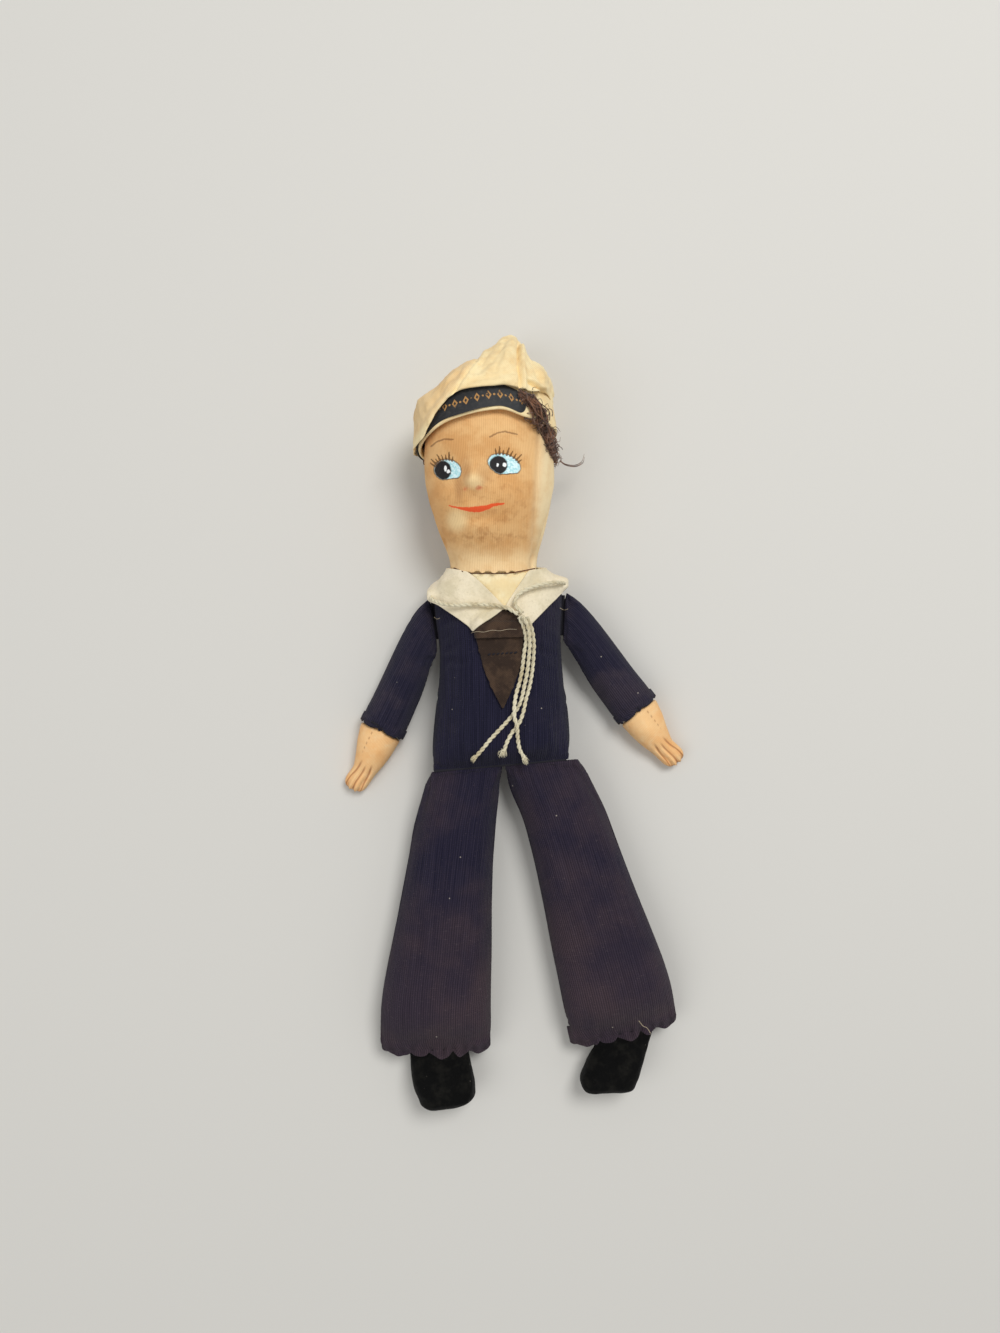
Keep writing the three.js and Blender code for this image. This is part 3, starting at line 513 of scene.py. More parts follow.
def tubeRound(points, sides, sizeAt):
    # rings round a line, each with a size of its own
    angles = [2 * math.pi * j / sides for j in range(sides + 1)]
    return [
        [point + (side * math.cos(a) + up * math.sin(a)) * sizeAt(k) for a in angles]
        for k, (point, side, up) in enumerate(framesAlong(points))
    ]


def ropeOn(bm, line, phase=0):
    # plies wound round a line, each a closed tube; they press together a little
    pressed = 1.16
    ply = rope["diameter"] * 0.5 / (1 + 1 / math.sin(math.pi / rope["plies"])) * pressed
    wind = rope["diameter"] / 2 - ply
    sides = rope["sides"]
    step = (line[1] - line[0]).length
    uvs = [[(j / sides * fullTurn, k * step) for j in range(sides + 1)] for k in range(len(line))]
    for n in range(rope["plies"]):
        start = phase + n * 2 * math.pi / rope["plies"]
        centres = []
        for k, (point, side, up) in enumerate(framesAlong(line)):
            turn = start + 2 * math.pi * k * step / rope["pitch"]
            centres.append(point + (side * math.cos(turn) + up * math.sin(turn)) * wind)
        netOf(bm, tubeRound(centres, sides, lambda k: ply), uvs)


def rounded(route):
    line = splineThrough([Vector(p) for p in route])
    length = sum((b - a).length for a, b in zip(line, line[1:]))
    return evened(line, int(length / rope["step"])), length


loopRoute = [
    (4.6, 26.1, 24.2), (0.8, 28, 24.2), (-6.8, 28.8, 23.2), (-12.4, 28.6, 22.3), (-16.6, 29.2, 20.6),
    (-19.7, 30.9, 16.8), (-19.4, 33.8, 10.5), (-15.4, 36.8, 4.8), (-9, 38.2, 1.6), (-1, 38.6, 1.4),
    (7.6, 38.4, 1.6), (14.4, 37.4, 4.8), (17.5, 35.9, 10.5), (17.9, 35.2, 16), (15.6, 35.1, 20.2),
    (12.4, 34.6, 22), (7.6, 33.2, 23.2), (4.4, 31, 23.6), (4, 28.6, 23.9), (5.9, 26.4, 24.2),
]
tails = {
    "right": {
        "hairs": 16, "spread": 0.55, "long": 2.1, "seed": 3,
        "route": [
            (4.9, 25.2, 24), (6.1, 22.8, 23.9), (6.9, 19, 23.4), (6.4, 15.4, 23.1), (5.9, 11, 22.6),
            (5.1, 7, 22.6), (4.2, 4, 23.3), (3.7, 0.6, 24.2), (3.7, -2.4, 24.4), (4.4, -5, 23.9),
            (4.6, -8, 22.6), (5.2, -11.6, 21.2), (6.6, -14.2, 19.8),
        ],
    },
    "middle": {
        "hairs": 14, "spread": 0.4, "long": 1.7, "seed": 5,
        "route": [
            (5.9, 25.4, 25.6), (7.4, 22.4, 25), (7.9, 18, 24.4), (7.7, 14.4, 24), (7.2, 10, 23.7),
            (6.4, 6, 23.5), (5.6, 2.4, 22.9), (4.2, -0.6, 22.3), (1.8, -3.6, 22.2), (-0.8, -6.4, 22.2),
            (-3.2, -9, 22.1), (-5.3, -11.6, 21.5), (-7.4, -14, 20.5),
        ],
    },
    "left": {
        "hairs": 22, "spread": 0.95, "long": 2.0, "seed": 8,
        "route": [
            (7.2, 25.2, 23.6), (8.5, 22, 22.4), (9.1, 18.2, 22), (9, 14.2, 22), (8.6, 10, 22),
            (7.9, 6, 22), (6.9, 2.4, 22.1), (6.2, -1, 22.1), (5, -4.2, 22.2), (3.1, -6.8, 22.2),
            (1.6, -9.6, 22.1), (0.8, -12, 21.2),
        ],
    },
}


def hairOn(bm, points, radius, sides=4, tip=0.35):
    # one thin fibre as a tube that tapers to its tip
    rows = tubeRound(points, sides, lambda k: radius * lerp(1, tip, (k / (len(points) - 1)) ** 2))
    netOf(bm, rows, [[(0, 0)] * (sides + 1)] * len(rows))


def makeLanyard():
    bm = bmesh.new()
    ropeOn(bm, rounded(loopRoute)[0])
    closedFrom(bm, "lanyardLoop", whiteCord, "torso", "white_cord", "lanyard_loop")
    for name, tail in tails.items():
        line, length = rounded(tail["route"])
        bm = bmesh.new()
        ropeOn(bm, line, phase=tail["seed"])
        label = "lanyardTail" + name.capitalize()
        cord = closedFrom(bm, label, whiteCord, "torso", "white_cord", f"lanyard_tail_{name}")
        end = makeFray(name, tail, line)
        tuple(line[0] * mm)
        length * mm
        [tuple(p * mm) for p in line]
        print(f"lanyard tail {name}: {length:.1f} mm")


def makeFray(name, tail, line):
    # the worn end: the plies open into a tuft of loose fibres
    seeded = random.Random(tail["seed"])
    way = (line[-1] - line[-4]).normalized()
    bm = bmesh.new()
    for _ in range(tail["hairs"] * 3):
        off = scattered(seeded, 0.24)
        start = line[-1] - way * 0.5 + (off - way * off.dot(way))
        lean = scattered(seeded, tail["spread"] * 0.55) + (start - line[-1]) * 0.5
        lean.z *= 0.5
        reach = 0.5 + tail["long"] * seeded.uniform(0.55, 1)
        curl = scattered(seeded, 0.25)
        shares = [j / 5 for j in range(6)]
        points = [start + way * reach * t + lean * t * t * 0.8 + curl * math.sin(t * 3) for t in shares]
        hairOn(bm, points, seeded.uniform(0.07, 0.12), 5)
    label = "lanyardEnd" + name.capitalize()
    return closedFrom(bm, label, whiteCord, "torso", "white_cord", f"lanyard_end_{name}")


makeLanyard()
print("lanyard made")


def widest(tree, middle, across, side):
    # how far a skin reaches to one side of a ring's middle, and the height where it does
    best = (0.05, 8)
    for j in range(60):
        base = Vector((middle.x, middle.y, 0.12 + j * 0.37))
        hit = tree.ray_cast((base + across * side * 45) * mm, across * -side, 45 * mm)[0]
        if hit is not None:
            out = (hit / mm - base).dot(across) * side
            if out > best[0]:
                best = (out, base.z)
    return best


def heightOn(tree, point, above=True, far=60, reach=120, missed=0):
    # the height where a skin is met from above a point, or from below it
    way = Vector((0, 0, -1 if above else 1))
    hit = tree.ray_cast((point - way * far) * mm, way, reach * mm)[0]
    return missed if hit is None else hit.z / mm


def ringOn(tree, middle, across, sides):
    # a ring of points round a skin, in the upright plane of middle and across, from its underside round
    right, rightHeight = widest(tree, middle, across, 1)
    left, leftHeight = widest(tree, middle, across, -1)
    centre, half = (right - left) / 2, (right + left) / 2
    row = []
    for k in range(sides):
        turn = 2 * math.pi * k / sides - math.pi / 2
        u, v = math.cos(turn), math.sin(turn)
        base = Vector((middle.x, middle.y, 0)) + across * (centre + u * half * 0.995)
        edge = rightHeight if u > 0 else leftHeight
        height = heightOn(tree, base, v >= 0, missed=edge) if abs(u) < 0.99 else edge
        row.append(Vector((base.x, base.y, height)))
    return row + [row[0].copy()]


def tubeOn(tree, start, end, count, sides, crowd=0.6):
    # rings from one flat seam to another: each end is a middle point and a direction across
    rows = []
    for r in range(count + 1):
        share = r / count
        t = lerp(share, 0.5 - 0.5 * math.cos(math.pi * share), crowd)
        t = lerp(0.003, 0.997, t)
        rows.append(ringOn(tree, start[0].lerp(end[0], t), flatWay(lerp(start[1], end[1], t)), sides))
    return rows


def roundOn(tree, spots, lift=0):
    # rows of points on a skin, each seen from outside towards a middle: (middle, azimuth, elevation)
    def onSkin(middle, azimuth, elevation):
        flat = math.cos(elevation)
        way = Vector((math.sin(azimuth) * flat, math.sin(elevation), math.cos(azimuth) * flat))
        hit = tree.ray_cast((middle + way * 70) * mm, -way, 90 * mm)[0]
        return (hit / mm if hit is not None else middle + way * 5) + way * lift
    return [[onSkin(*spot) for spot in row] for row in spots]


puffSteps = 20
puffGrown = 20


def puffed(piece, pins, look):
    # swells a sewn cover with Cloth on a larger copy, and caps how far each point moves
    flat = [smooth(0.1, 0.7, abs(vert.normal.z)) if "held" in look else 1 for vert in piece.data.vertices]
    mesh = piece.data.copy()
    mesh.transform(Matrix.Scale(puffGrown, 4))
    copy = bpy.data.objects.new("simulated", mesh)
    scene.collection.objects.link(copy)
    group = copy.vertex_groups.new(name="sewn")
    group.add(pins, 1, "REPLACE")
    cloth = copy.modifiers.new("cloth", "CLOTH")
    values = {
        "quality": 6, "mass": 0.25, "tension_stiffness": 12, "compression_stiffness": 12, "shear_stiffness": 5,
        "bending_stiffness": look.get("bending", 0.25), "use_pressure": True,
        "uniform_pressure_force": look["pressure"], "shrink_min": look.get("shrink", -0.06),
        "vertex_group_mass": "sewn",
    }
    for name, value in values.items():
        setattr(cloth.settings, name, value)
    cloth.settings.effector_weights.gravity = 0
    cloth.collision_settings.use_collision = False
    for step in range(1, puffSteps + 1):
        scene.frame_set(step)
    seen = copy.evaluated_get(bpy.context.evaluated_depsgraph_get())
    cap, floor = look["cap"] * mm, 0.12 * mm
    for vert, moved, share in zip(piece.data.vertices, seen.data.vertices, flat):
        # a flat tube's side seams stay where they are
        step = moved.co / puffGrown - vert.co
        step = Vector((step.x * share, step.y * share, step.z))
        if step.length > cap:
            step *= cap / step.length
        vert.co += step
        vert.co.z = max(vert.co.z, floor)
    bpy.data.objects.remove(copy)
    scene.frame_set(1)


def sewnPins(piece, lines, reach=1.2):
    # points near a flat seam's line stay sewn
    return [
        vert.index for vert in piece.data.vertices
        if any(abs((vert.co / mm - spot).dot(normal)) < reach for spot, normal in lines)
    ]


def fadedLegs(finish):
    # wear grows towards the hems and stays off the crotch
    low = (finish.parts(finish.where)[1] * -1000).rise(30, 105)
    return low * 0.7 - 0.1


bodyKnit = knitFinish("bodyKnit", {
    "rib": 0.62, "row": 0.55, "main": (38, 36, 58), "dark": (24, 23, 44), "deep": (10, 10, 26),
    "worn": (54, 48, 62), "lint": (96, 90, 104), "wornShare": 0.45, "ribShade": 0.55,
    "patchScale": 55, "patchLow": 0.5, "patchHigh": 0.72, "speckScale": 190, "depth": 0.22,
})
legKnit = knitFinish("legKnit", {
    "rib": 0.66, "row": 0.6, "main": (46, 41, 60), "dark": (29, 26, 48), "deep": (14, 12, 28),
    "worn": (86, 68, 70), "lint": (122, 106, 108), "wornShare": 0.62, "ribShade": 0.5,
    "patchScale": 42, "patchLow": 0.36, "patchHigh": 0.72, "speckScale": 150, "depth": 0.24,
    "wornWhere": fadedLegs,
})
sleeveKnit = knitFinish("sleeveKnit", {
    "rib": 0.62, "row": 0.55, "main": (48, 45, 64), "dark": (29, 28, 48), "deep": (14, 14, 30),
    "worn": (72, 62, 70), "lint": (114, 104, 110), "wornShare": 0.6, "ribShade": 0.5,
    "patchScale": 60, "patchLow": 0.45, "patchHigh": 0.68, "speckScale": 190, "depth": 0.22,
})


def puckered(rows, seams, look):
    # gathers that run out from a sewn line and die away, and a rumple all over
    out = []
    for row in rows:
        new = []
        for point in row:
            moved = point.copy()
            for n, (spot, normal, across) in enumerate(seams):
                distance = abs((point - spot).dot(normal))
                run = (point - spot).dot(across)
                wave = math.sin(run * look["waves"] + 2.2 * noise.noise(Vector((run * 0.21, n * 7.3, 2.5))))
                wave += 0.6 * math.sin(run * look["waves"] * 1.73 + 1.3 + 3 * n)
                fade = math.exp(-distance / look["reach"]) * smooth(0, 1.6, distance)
                moved.z += look["size"] * wave * fade * (1 if point.z > spot.z - 1 else 0.4)
            moved.z += look["rumple"] * noise.noise(point * look["rumpleScale"] + Vector((3.1, 8.2, 1.7)))
            moved.z = max(moved.z, 0.12)
            new.append(moved)
        out.append(new)
    return out


def inset(row, step=0.4):
    # a smaller ring inside an end ring, so the fold between them stays sharp
    centre = sum(row, Vector()) / len(row)
    return [point + (centre - point).normalized() * step for point in row]


def shaped(rows, seam, forms):
    # draws one side of a flat tube in: the side, the step, and where and over what reach along the tube
    across = flatWay(seam[1])
    for row in rows:
        runs = [(point - seam[0]).dot(across) for point in row]
        middle, half = (max(runs) + min(runs)) / 2, (max(runs) - min(runs)) / 2
        for point, run in zip(row, runs):
            distance = abs((point - seam[0]).dot(Vector((-across.y, across.x, 0))))
            for side, step, place, reach in forms:
                share = max(0, side * (run - middle) / half)
                point -= across * step * share ** 3 * hump(distance, place, reach)


def makeCover(name, look):
    # a tube of knit between two flat seams, stuffed and gathered
    ends, sides = look["ends"], look["sides"]
    raw = tubeOn(treeOf(*look["nodes"]), *ends, look["rings"], sides)
    rows = relaxed(raw, 8, True)
    last = len(raw) - 1
    for r, row in enumerate(rows):
        near = [raw[max(r - 2, 0)], raw[r], raw[min(r + 2, last)]]
        for k, point in enumerate(row):
            # the side seams stay where they are
            calm = raw[r][k] if r in (0, last) else (near[0][k] + near[1][k] + near[2][k]) / 3
            row[k] = point.lerp(calm, abs(math.sin(2 * math.pi * k / sides)) ** 14)
    for end, near, past in ((0, 1, look.get("pastStart", 0)), (-1, -2, 0.2)):
        away = (sum(rows[end], Vector()) - sum(rows[near], Vector())).normalized() * past
        rows[end] = [point + away for point in rows[end]]
    shaped(rows, ends[0], look.get("forms", []))
    seams = [(spot, Vector((-math.sin(turn), math.cos(turn), 0)), flatWay(turn)) for spot, turn in ends]
    rows = puckered(rows, seams[:look.get("gathered", 2)], look["gathers"])
    pinned = [seam[:2] for seam in seams] + look.get("sewn", [])
    sewn(
        name, [inset(rows[0])] + rows + [inset(rows[-1])], look["material"], look["body"], look["slot"],
        look["replaces"], fill=look["fill"],
        swell=lambda piece: puffed(piece, sewnPins(piece, pinned), {**look["puff"], "held": True}),
    )
    print(f"{name} made")


def seamAt(x, y, z, degrees):
    return Vector((x, y, z)), math.radians(degrees)


# "ends" are the flat seams, "pastStart" closes the first one's gap, "forms" draw a side in
trouser = {
    "rings": 100, "sides": 72, "puff": {"cap": 0.9, "pressure": 3}, "fill": 0.8,
    "gathers": {"waves": 2.1, "reach": 4.5, "size": 0.42, "rumple": 0.3, "rumpleScale": 0.13},
    "material": legKnit, "slot": "faded_knit",
}
sleeve = {
    "rings": 60, "sides": 56, "puff": {"cap": 0.5, "pressure": 2}, "fill": 0.75, "pastStart": 0.3, "gathered": 1,
    "gathers": {"waves": 2.4, "reach": 3, "size": 0.25, "rumple": 0.35, "rumpleScale": 0.2},
    "material": sleeveKnit, "slot": "navy_knit",
}
covers = {
    "bodyCover": {
        "nodes": ["torso_cover", "chest_inset"], "replaces": ["torso_cover", "torso_stuffing"],
        "ends": (seamAt(0, -16.6, 15, 5), seamAt(-1.9, 36.5, 12.6, 1)), "rings": 76, "sides": 84,
        "pastStart": 0.12, "gathered": 1,
        "gathers": {"waves": 2.6, "reach": 3.2, "size": 0.34, "rumple": 0.22, "rumpleScale": 0.16},
        "sewn": [(Vector((-19.29, 25.3, 10.5)), Vector((0.9921, 0.1255, 0))),
                 (Vector((17.9, 27, 10.5)), Vector((0.9992, -0.039, 0)))],
        "puff": {"cap": 0.7, "pressure": 3}, "fill": 0.85,
        "material": bodyKnit, "body": "torso", "slot": "navy_knit",
    },
    "trouserRight": {
        **trouser, "nodes": ["trouser_leg_right"], "replaces": ["trouser_leg_right", "leg_stuffing_right"],
        "ends": (seamAt(-10.3, -17.5, 15, 5), seamAt(-19.02, -100.44, 7, 1.4)),
        "forms": [(-1, -1.6, 0, 2.2)], "body": "leg_right",
    },
    "trouserLeft": {
        **trouser, "nodes": ["trouser_leg_left"], "replaces": ["trouser_leg_left", "leg_stuffing_left"],
        "ends": (seamAt(12.3, -15.5, 15, 5), seamAt(35.85, -95.53, 7, 12.7)),
        "forms": [(1, 1.4, 0, 2.2), (-1, 1.3, 7, 7)], "body": "leg_left",
    },
    "sleeveRight": {
        **sleeve, "nodes": ["sleeve_right"], "replaces": ["sleeve_right", "arm_stuffing_right"],
        "ends": (seamAt(-19.29, 25.3, 10.5, 97.2), seamAt(-34.76, -6, 5, 153.7)), "body": "arm_right",
    },
    "sleeveLeft": {
        **sleeve, "nodes": ["sleeve_left"], "replaces": ["sleeve_left", "arm_stuffing_left"],
        "ends": (seamAt(17.9, 27, 10.5, 87.8), seamAt(39.48, -0.41, 5, 38.2)), "body": "arm_left",
    },
}
for coverName, coverLook in covers.items():
    makeCover(coverName, coverLook)


# stitched lines between the fingers, and a dart up the wrist
fingers = {"lines": (-2, 0, 2), "from": 14.6, "depth": 0.65, "width": 0.5, "dart": -1.6, "notch": 0.8}


def fingerLines(finish):
    across, down = finish.weave()
    lines = mostOf([
        (across - spot + (down - 18) * spot * -0.05).abs().rise(0.42, 0.06) for spot in fingers["lines"]
    ])
    dart = (across - fingers["dart"] + down * 0.08).abs().rise(0.3, 0.08) * (down * 3.4).sin().rise(-0.2, 0.5)
    dart = dart * down.rise(1, 2) * down.rise(13, 9) * 0.5
    return (lines * down.rise(fingers["from"] - 2, fingers["from"] + 1) * 0.7).most(dart)


handCloth = stockinetFinish("handCloth", {
    "main": (255, 210, 150), "stain": (248, 190, 124), "light": (255, 226, 178), "deep": (206, 144, 90),
    "shade": fingerLines, "shadeTone": (166, 98, 52), "depth": 0.1,
})
hands = {
    "right": {"wrist": seamAt(-34.7, -5.9, 5, 153.7), "way": Vector((-0.443, -0.8965, 0))},
    "left": {"wrist": seamAt(39.5, -0.4, 5, 38.2), "way": Vector((0.6184, -0.7859, 0))},
}
handLong = 21.7


def makeHand(name, look):
    spot, turn = look["wrist"]
    rows = tubeOn(treeOf(f"hand_{name}"), look["wrist"], (spot + look["way"] * handLong, turn), 56, 48, 0.4)
    rows = relaxed(rows, 6, True)
    uvs = clothUvs(rows)
    for row, marks in zip(rows, uvs):
        for point, (across, down) in zip(row, marks):
            deep = smooth(fingers["from"] - 1, fingers["from"] + 2, down)
            for line in fingers["lines"]:
                groove = hump(across, line, fingers["width"])
                point.z -= fingers["depth"] * deep * groove
                point -= look["way"] * fingers["notch"] * groove * smooth(18.5, 21, down)
            point.z += 0.35 * hump(across, 1.5, 2.5) * hump(down, 9, 3)
            point.z -= 0.5 * hump(across, -1, 1) * hump(down, 5, 4)
    label = "hand" + name.capitalize()
    sewn(label, rows, handCloth, f"arm_{name}", "tan_knit", [f"hand_{name}"], fill=0.8, uvs=uvs)


cuffs = {"before": 0.9, "past": 0.4, "scallop": 1.1, "waves": 11, "lift": 0.4, "cloth": 0.5, "columns": 96}


def makeCuff(name, look):
    # the sleeve's cut edge, which stands off the hand in small scallops
    label = name.capitalize()
    tree = treeOf("sleeve" + label, f"hand_{name}", "hand" + label)
    (spot, turn), way = look["wrist"], look["way"]
    across = flatWay(turn)
    base = ringOn(treeOf("sleeve" + label), spot - way * cuffs["before"], across, cuffs["columns"])

    def at(t, mark):
        k, point = mark
        around = 2 * math.pi * k / cuffs["columns"] - math.pi / 2
        side, up = math.cos(around), math.sin(around)
        wave = abs(math.sin(k / cuffs["columns"] * math.pi * cuffs["waves"] + 0.9 * math.sin(k * 0.4))) ** 0.7
        long = cuffs["before"] + cuffs["past"] + cuffs["scallop"] * wave
        moved = point + way * lerp(-0.6, long, t) + across * side * abs(side) * 0.25
        if abs(side) < 0.95:
            moved.z = heightOn(tree, moved, up > 0, missed=moved.z)
            lift = lerp(-0.2, cuffs["lift"], smooth(0, 0.3, t)) + 0.15 * wave * t
            moved.z += lift * math.copysign(1, up)
        moved.z = max(moved.z, 0.3)
        return moved

    rows = relaxed(gridOf(10, list(enumerate(base)), at), 2, True, share=0.35)
    sewn("cuff" + label, rows, sleeveKnit, f"arm_{name}", "navy_knit", cloth=cuffs["cloth"])


for handName, handLook in hands.items():
    makeHand(handName, handLook)
    makeCuff(handName, handLook)
print("hands made")


def velvetFinish():
    finish = Finish("shoeVelvet", SheenWeight=0.04, SheenRoughness=0.4, SpecularIORLevel=0.12)
    pile = finish.clouds(2400, 2, 0.7)
    rubbed = finish.clouds(260, 4, 0.65)
    finish.ground(rubbed.rise(0.45, 0.7) * 0.8, (5, 5, 5), (26, 25, 22))
    finish.wash(pile.rise(0.6, 0.8) * 0.25, (56, 54, 48))
    lint = finish.cells(420).rise(0.085, 0.04)
    finish.wash(lint * finish.clouds(90).rise(0.5, 0.6) * 0.8, (150, 142, 130))
    return finish.done(pile * 0.6 + rubbed * 0.8, 0.25, Roughness=0.75 + rubbed * 0.2)


shoeVelvet = velvetFinish()
shoes = {
    # "corner" draws one corner of the toe to where the photograph has it: place, reach and step
    "right": {
        "ankle": seamAt(-19.02, -100.44, 7, 1.4), "toe": seamAt(-16.07, -117.6, 7, 7.2),
        "corner": ((-24.6, -116), 5, (1.6, 0)),
    },
    "left": {
        "ankle": seamAt(35.85, -95.53, 7, 12.7), "toe": seamAt(30.94, -111.46, 7, -19.6),
        "corner": ((25.6, -109.6), 6, (-2.2, -3.4)),
    },
}
hems = {
    "half": 15.9, "before": 5, "past": 0.5, "scallop": 1.5, "pitch": 6.1, "pucker": 0.4, "puckerPitch": 2.9,
    "cloth": 0.6,
}


def makeShoe(name, look):
    rows = relaxed(tubeOn(treeOf(f"shoe_{name}"), look["ankle"], look["toe"], 44, 56, 0.5), 5, True)
    (x, y), reach, step = look["corner"]
    for row in rows:
        for point in row:
            point += Vector((*step, 0)) * hump(point.x, x, reach) * hump(point.y, y, reach)
            point += Vector((0, 0, 0.35)) * noise.noise(point * 0.45) + Vector((0, 0, 0.2)) * noise.noise(point * 1.1)
            point.z = max(point.z, 0.12)
    replaced = [f"shoe_{name}", f"shoe_stuffing_{name}"]
    sewn("shoe" + name.capitalize(), rows, shoeVelvet, f"foot_{name}", "shoe_velvet", replaced, fill=0.85)


def makeHem(name, look):
    # the trouser's cut hem: puckered, with scallops that reach over the shoe
    tree = treeOf("trouser" + name.capitalize(), f"shoe_{name}")
    spot, turn = look["ankle"]
    across = flatWay(turn)
    way = Vector((across.y, -across.x, 0))

    def at(t, u):
        run = u * hems["half"]
        scallop = abs(math.sin(run * math.pi / hems["pitch"] + 0.8 + 0.9 * noise.noise(Vector((run * 0.17, 4, 1)))))
        edge = hems["past"] + hems["scallop"] * scallop ** 0.6 * (1 + 0.5 * noise.noise(Vector((run * 0.3, 7, 1))))
        edge -= 2.2 * abs(u) ** 12
        ahead = lerp(-hems["before"], edge, t)
        point = spot + across * run + way * ahead
        height = heightOn(tree, Vector((point.x, point.y, 0)), far=40, reach=1000)
        wave = math.sin(run * 2 * math.pi / hems["puckerPitch"] + 1.5 * noise.noise(Vector((run * 0.3, 9, 2))))
        point.z = max(height, 6.6)
        point.z += lerp(-0.5, 0.25, smooth(0, 0.55, t)) + hems["pucker"] * wave * hump(ahead, 0.4, 1.8)
        point.z -= 0.5 * abs(u) ** 6 * t
        return point

    rows = relaxed(gridOf(11, turnsOf(96, -1, 1), at), 2, False, share=0.4)
    sewn("hem" + name.capitalize(), rows, legKnit, f"leg_{name}", "faded_knit", cloth=hems["cloth"])


for shoeName, shoeLook in shoes.items():
    makeShoe(shoeName, shoeLook)
    makeHem(shoeName, shoeLook)
print("shoes made")


neckAt = Vector((-1.9, 40, 12.6))
headMatrix = Matrix.Translation(neckAt) @ Matrix.Rotation(math.radians(3), 4, "Z")


def headMiddle(y):
    # the middle of the head at a height above the neck
    rise = min(max(y - neckAt.y, 0), 45)
    return Vector((neckAt.x - 0.0523 * rise, y, neckAt.z + 5.3 * smooth(-6, 24, rise)))


def outward(point, top=math.inf):
    # the way out of the head at a point
    return (point - headMiddle(min(point.y, top))).normalized()


def onNeck(point, lift):
    # the same point moved to the slanting plane of the neck seam
    return Vector((point.x, neckAt.y + lift - 0.231 * (point.z - neckAt.z), point.z))


def oval(pixel, x, y, wide, high, soft=0.08, tilt=0):
    # 1 inside an ellipse
    c, s = math.cos(math.radians(tilt)), math.sin(math.radians(tilt))
    dx, dy = pixel[0] - x, pixel[1] - y
    away = (((dx * c + dy * s) / wide) ** 2 + ((dy * c - dx * s) / high) ** 2).root()
    return away.rise(1 + soft, 1 - soft)


def stroke(finish, spot, start, end, wide, thin):
    # 1 along a painted line that tapers
    a, b = Vector((*start, 0)), Vector((*end, 0))
    length = (b - a).length
    way = tuple((b - a) / length)
    off = finish.vectorMaths("SUBTRACT", spot, tuple(a))
    run = finish.vectorMaths("DOT_PRODUCT", off, way, out="Value")
    run = finish.add("ShaderNodeClamp", None, [run, 0, length])
    foot = finish.add("ShaderNodeVectorMath", {"operation": "SCALE"}, {0: way, "Scale": run})
    away = finish.vectorMaths("LENGTH", finish.vectorMaths("SUBTRACT", off, foot), out="Value")
    return (away - (wide + run * ((thin - wide) / length))).rise(0.35, -0.35)


def manyStrokes(finish, spot, lines):
    return mostOf([stroke(finish, spot, *line) for line in lines])


face = {
    "eyes": [
        # "floor" is the straight lower edge: its height at the eye's middle, and its slope
        {"at": (447.6, 470.2), "size": (13.4, 10.6), "turn": 10, "iris": (442.8, 470.4), "irisSize": (8.5, 9.6),
         "lights": [(445.4, 468.4, 1.3, 3), (448.4, 471.4, 1.8, 1.8)], "lashes": (200, 292), "floor": (478.9, -0.13)},
        {"at": (504.2, 464.6), "size": (16.4, 10.2), "turn": 17, "iris": (498.4, 465), "irisSize": (9.1, 9.2),
         "lights": [(497.6, 465, 1.1, 1.8), (504.6, 464.6, 2, 2)], "lashes": (246, 338), "floor": (473.6, -0.06)},
    ],
    "lashCount": 8, "lashLong": 6.6,
    "brows": [
        ((431, 446.5), (437, 441.6)), ((437, 441.6), (444.5, 439)), ((444.5, 439), (453, 439.4)),
        ((490, 437), (497, 433)), ((497, 433), (505, 431.4)), ((505, 431.4), (517, 434.4)),
    ],
    "nostrils": [(466.6, 488.6), (479, 488)],
    "mouth": (476.5, 509.3), "mouthHalf": 28,
}


def lashLines(eye):
    low, high = eye["lashes"]
    tilt = math.radians(eye["turn"])
    lines = []
    for k in range(face["lashCount"]):
        share = k / (face["lashCount"] - 1)
        turn = math.radians(lerp(low, high, share))
        a, b = eye["size"][0] * math.cos(turn - tilt), eye["size"][1] * math.sin(turn - tilt)
        x = eye["at"][0] + a * math.cos(tilt) - b * math.sin(tilt)
        y = eye["at"][1] + a * math.sin(tilt) + b * math.cos(tilt)
        lean = math.radians(lerp(low + 14, high - 14, share))
        reach = face["lashLong"] * (0.85 + 0.3 * math.sin(k * 2.4))
        lines.append(((x, y), (x + reach * math.cos(lean), y + reach * math.sin(lean)), 1.25, 0.5))
    return lines


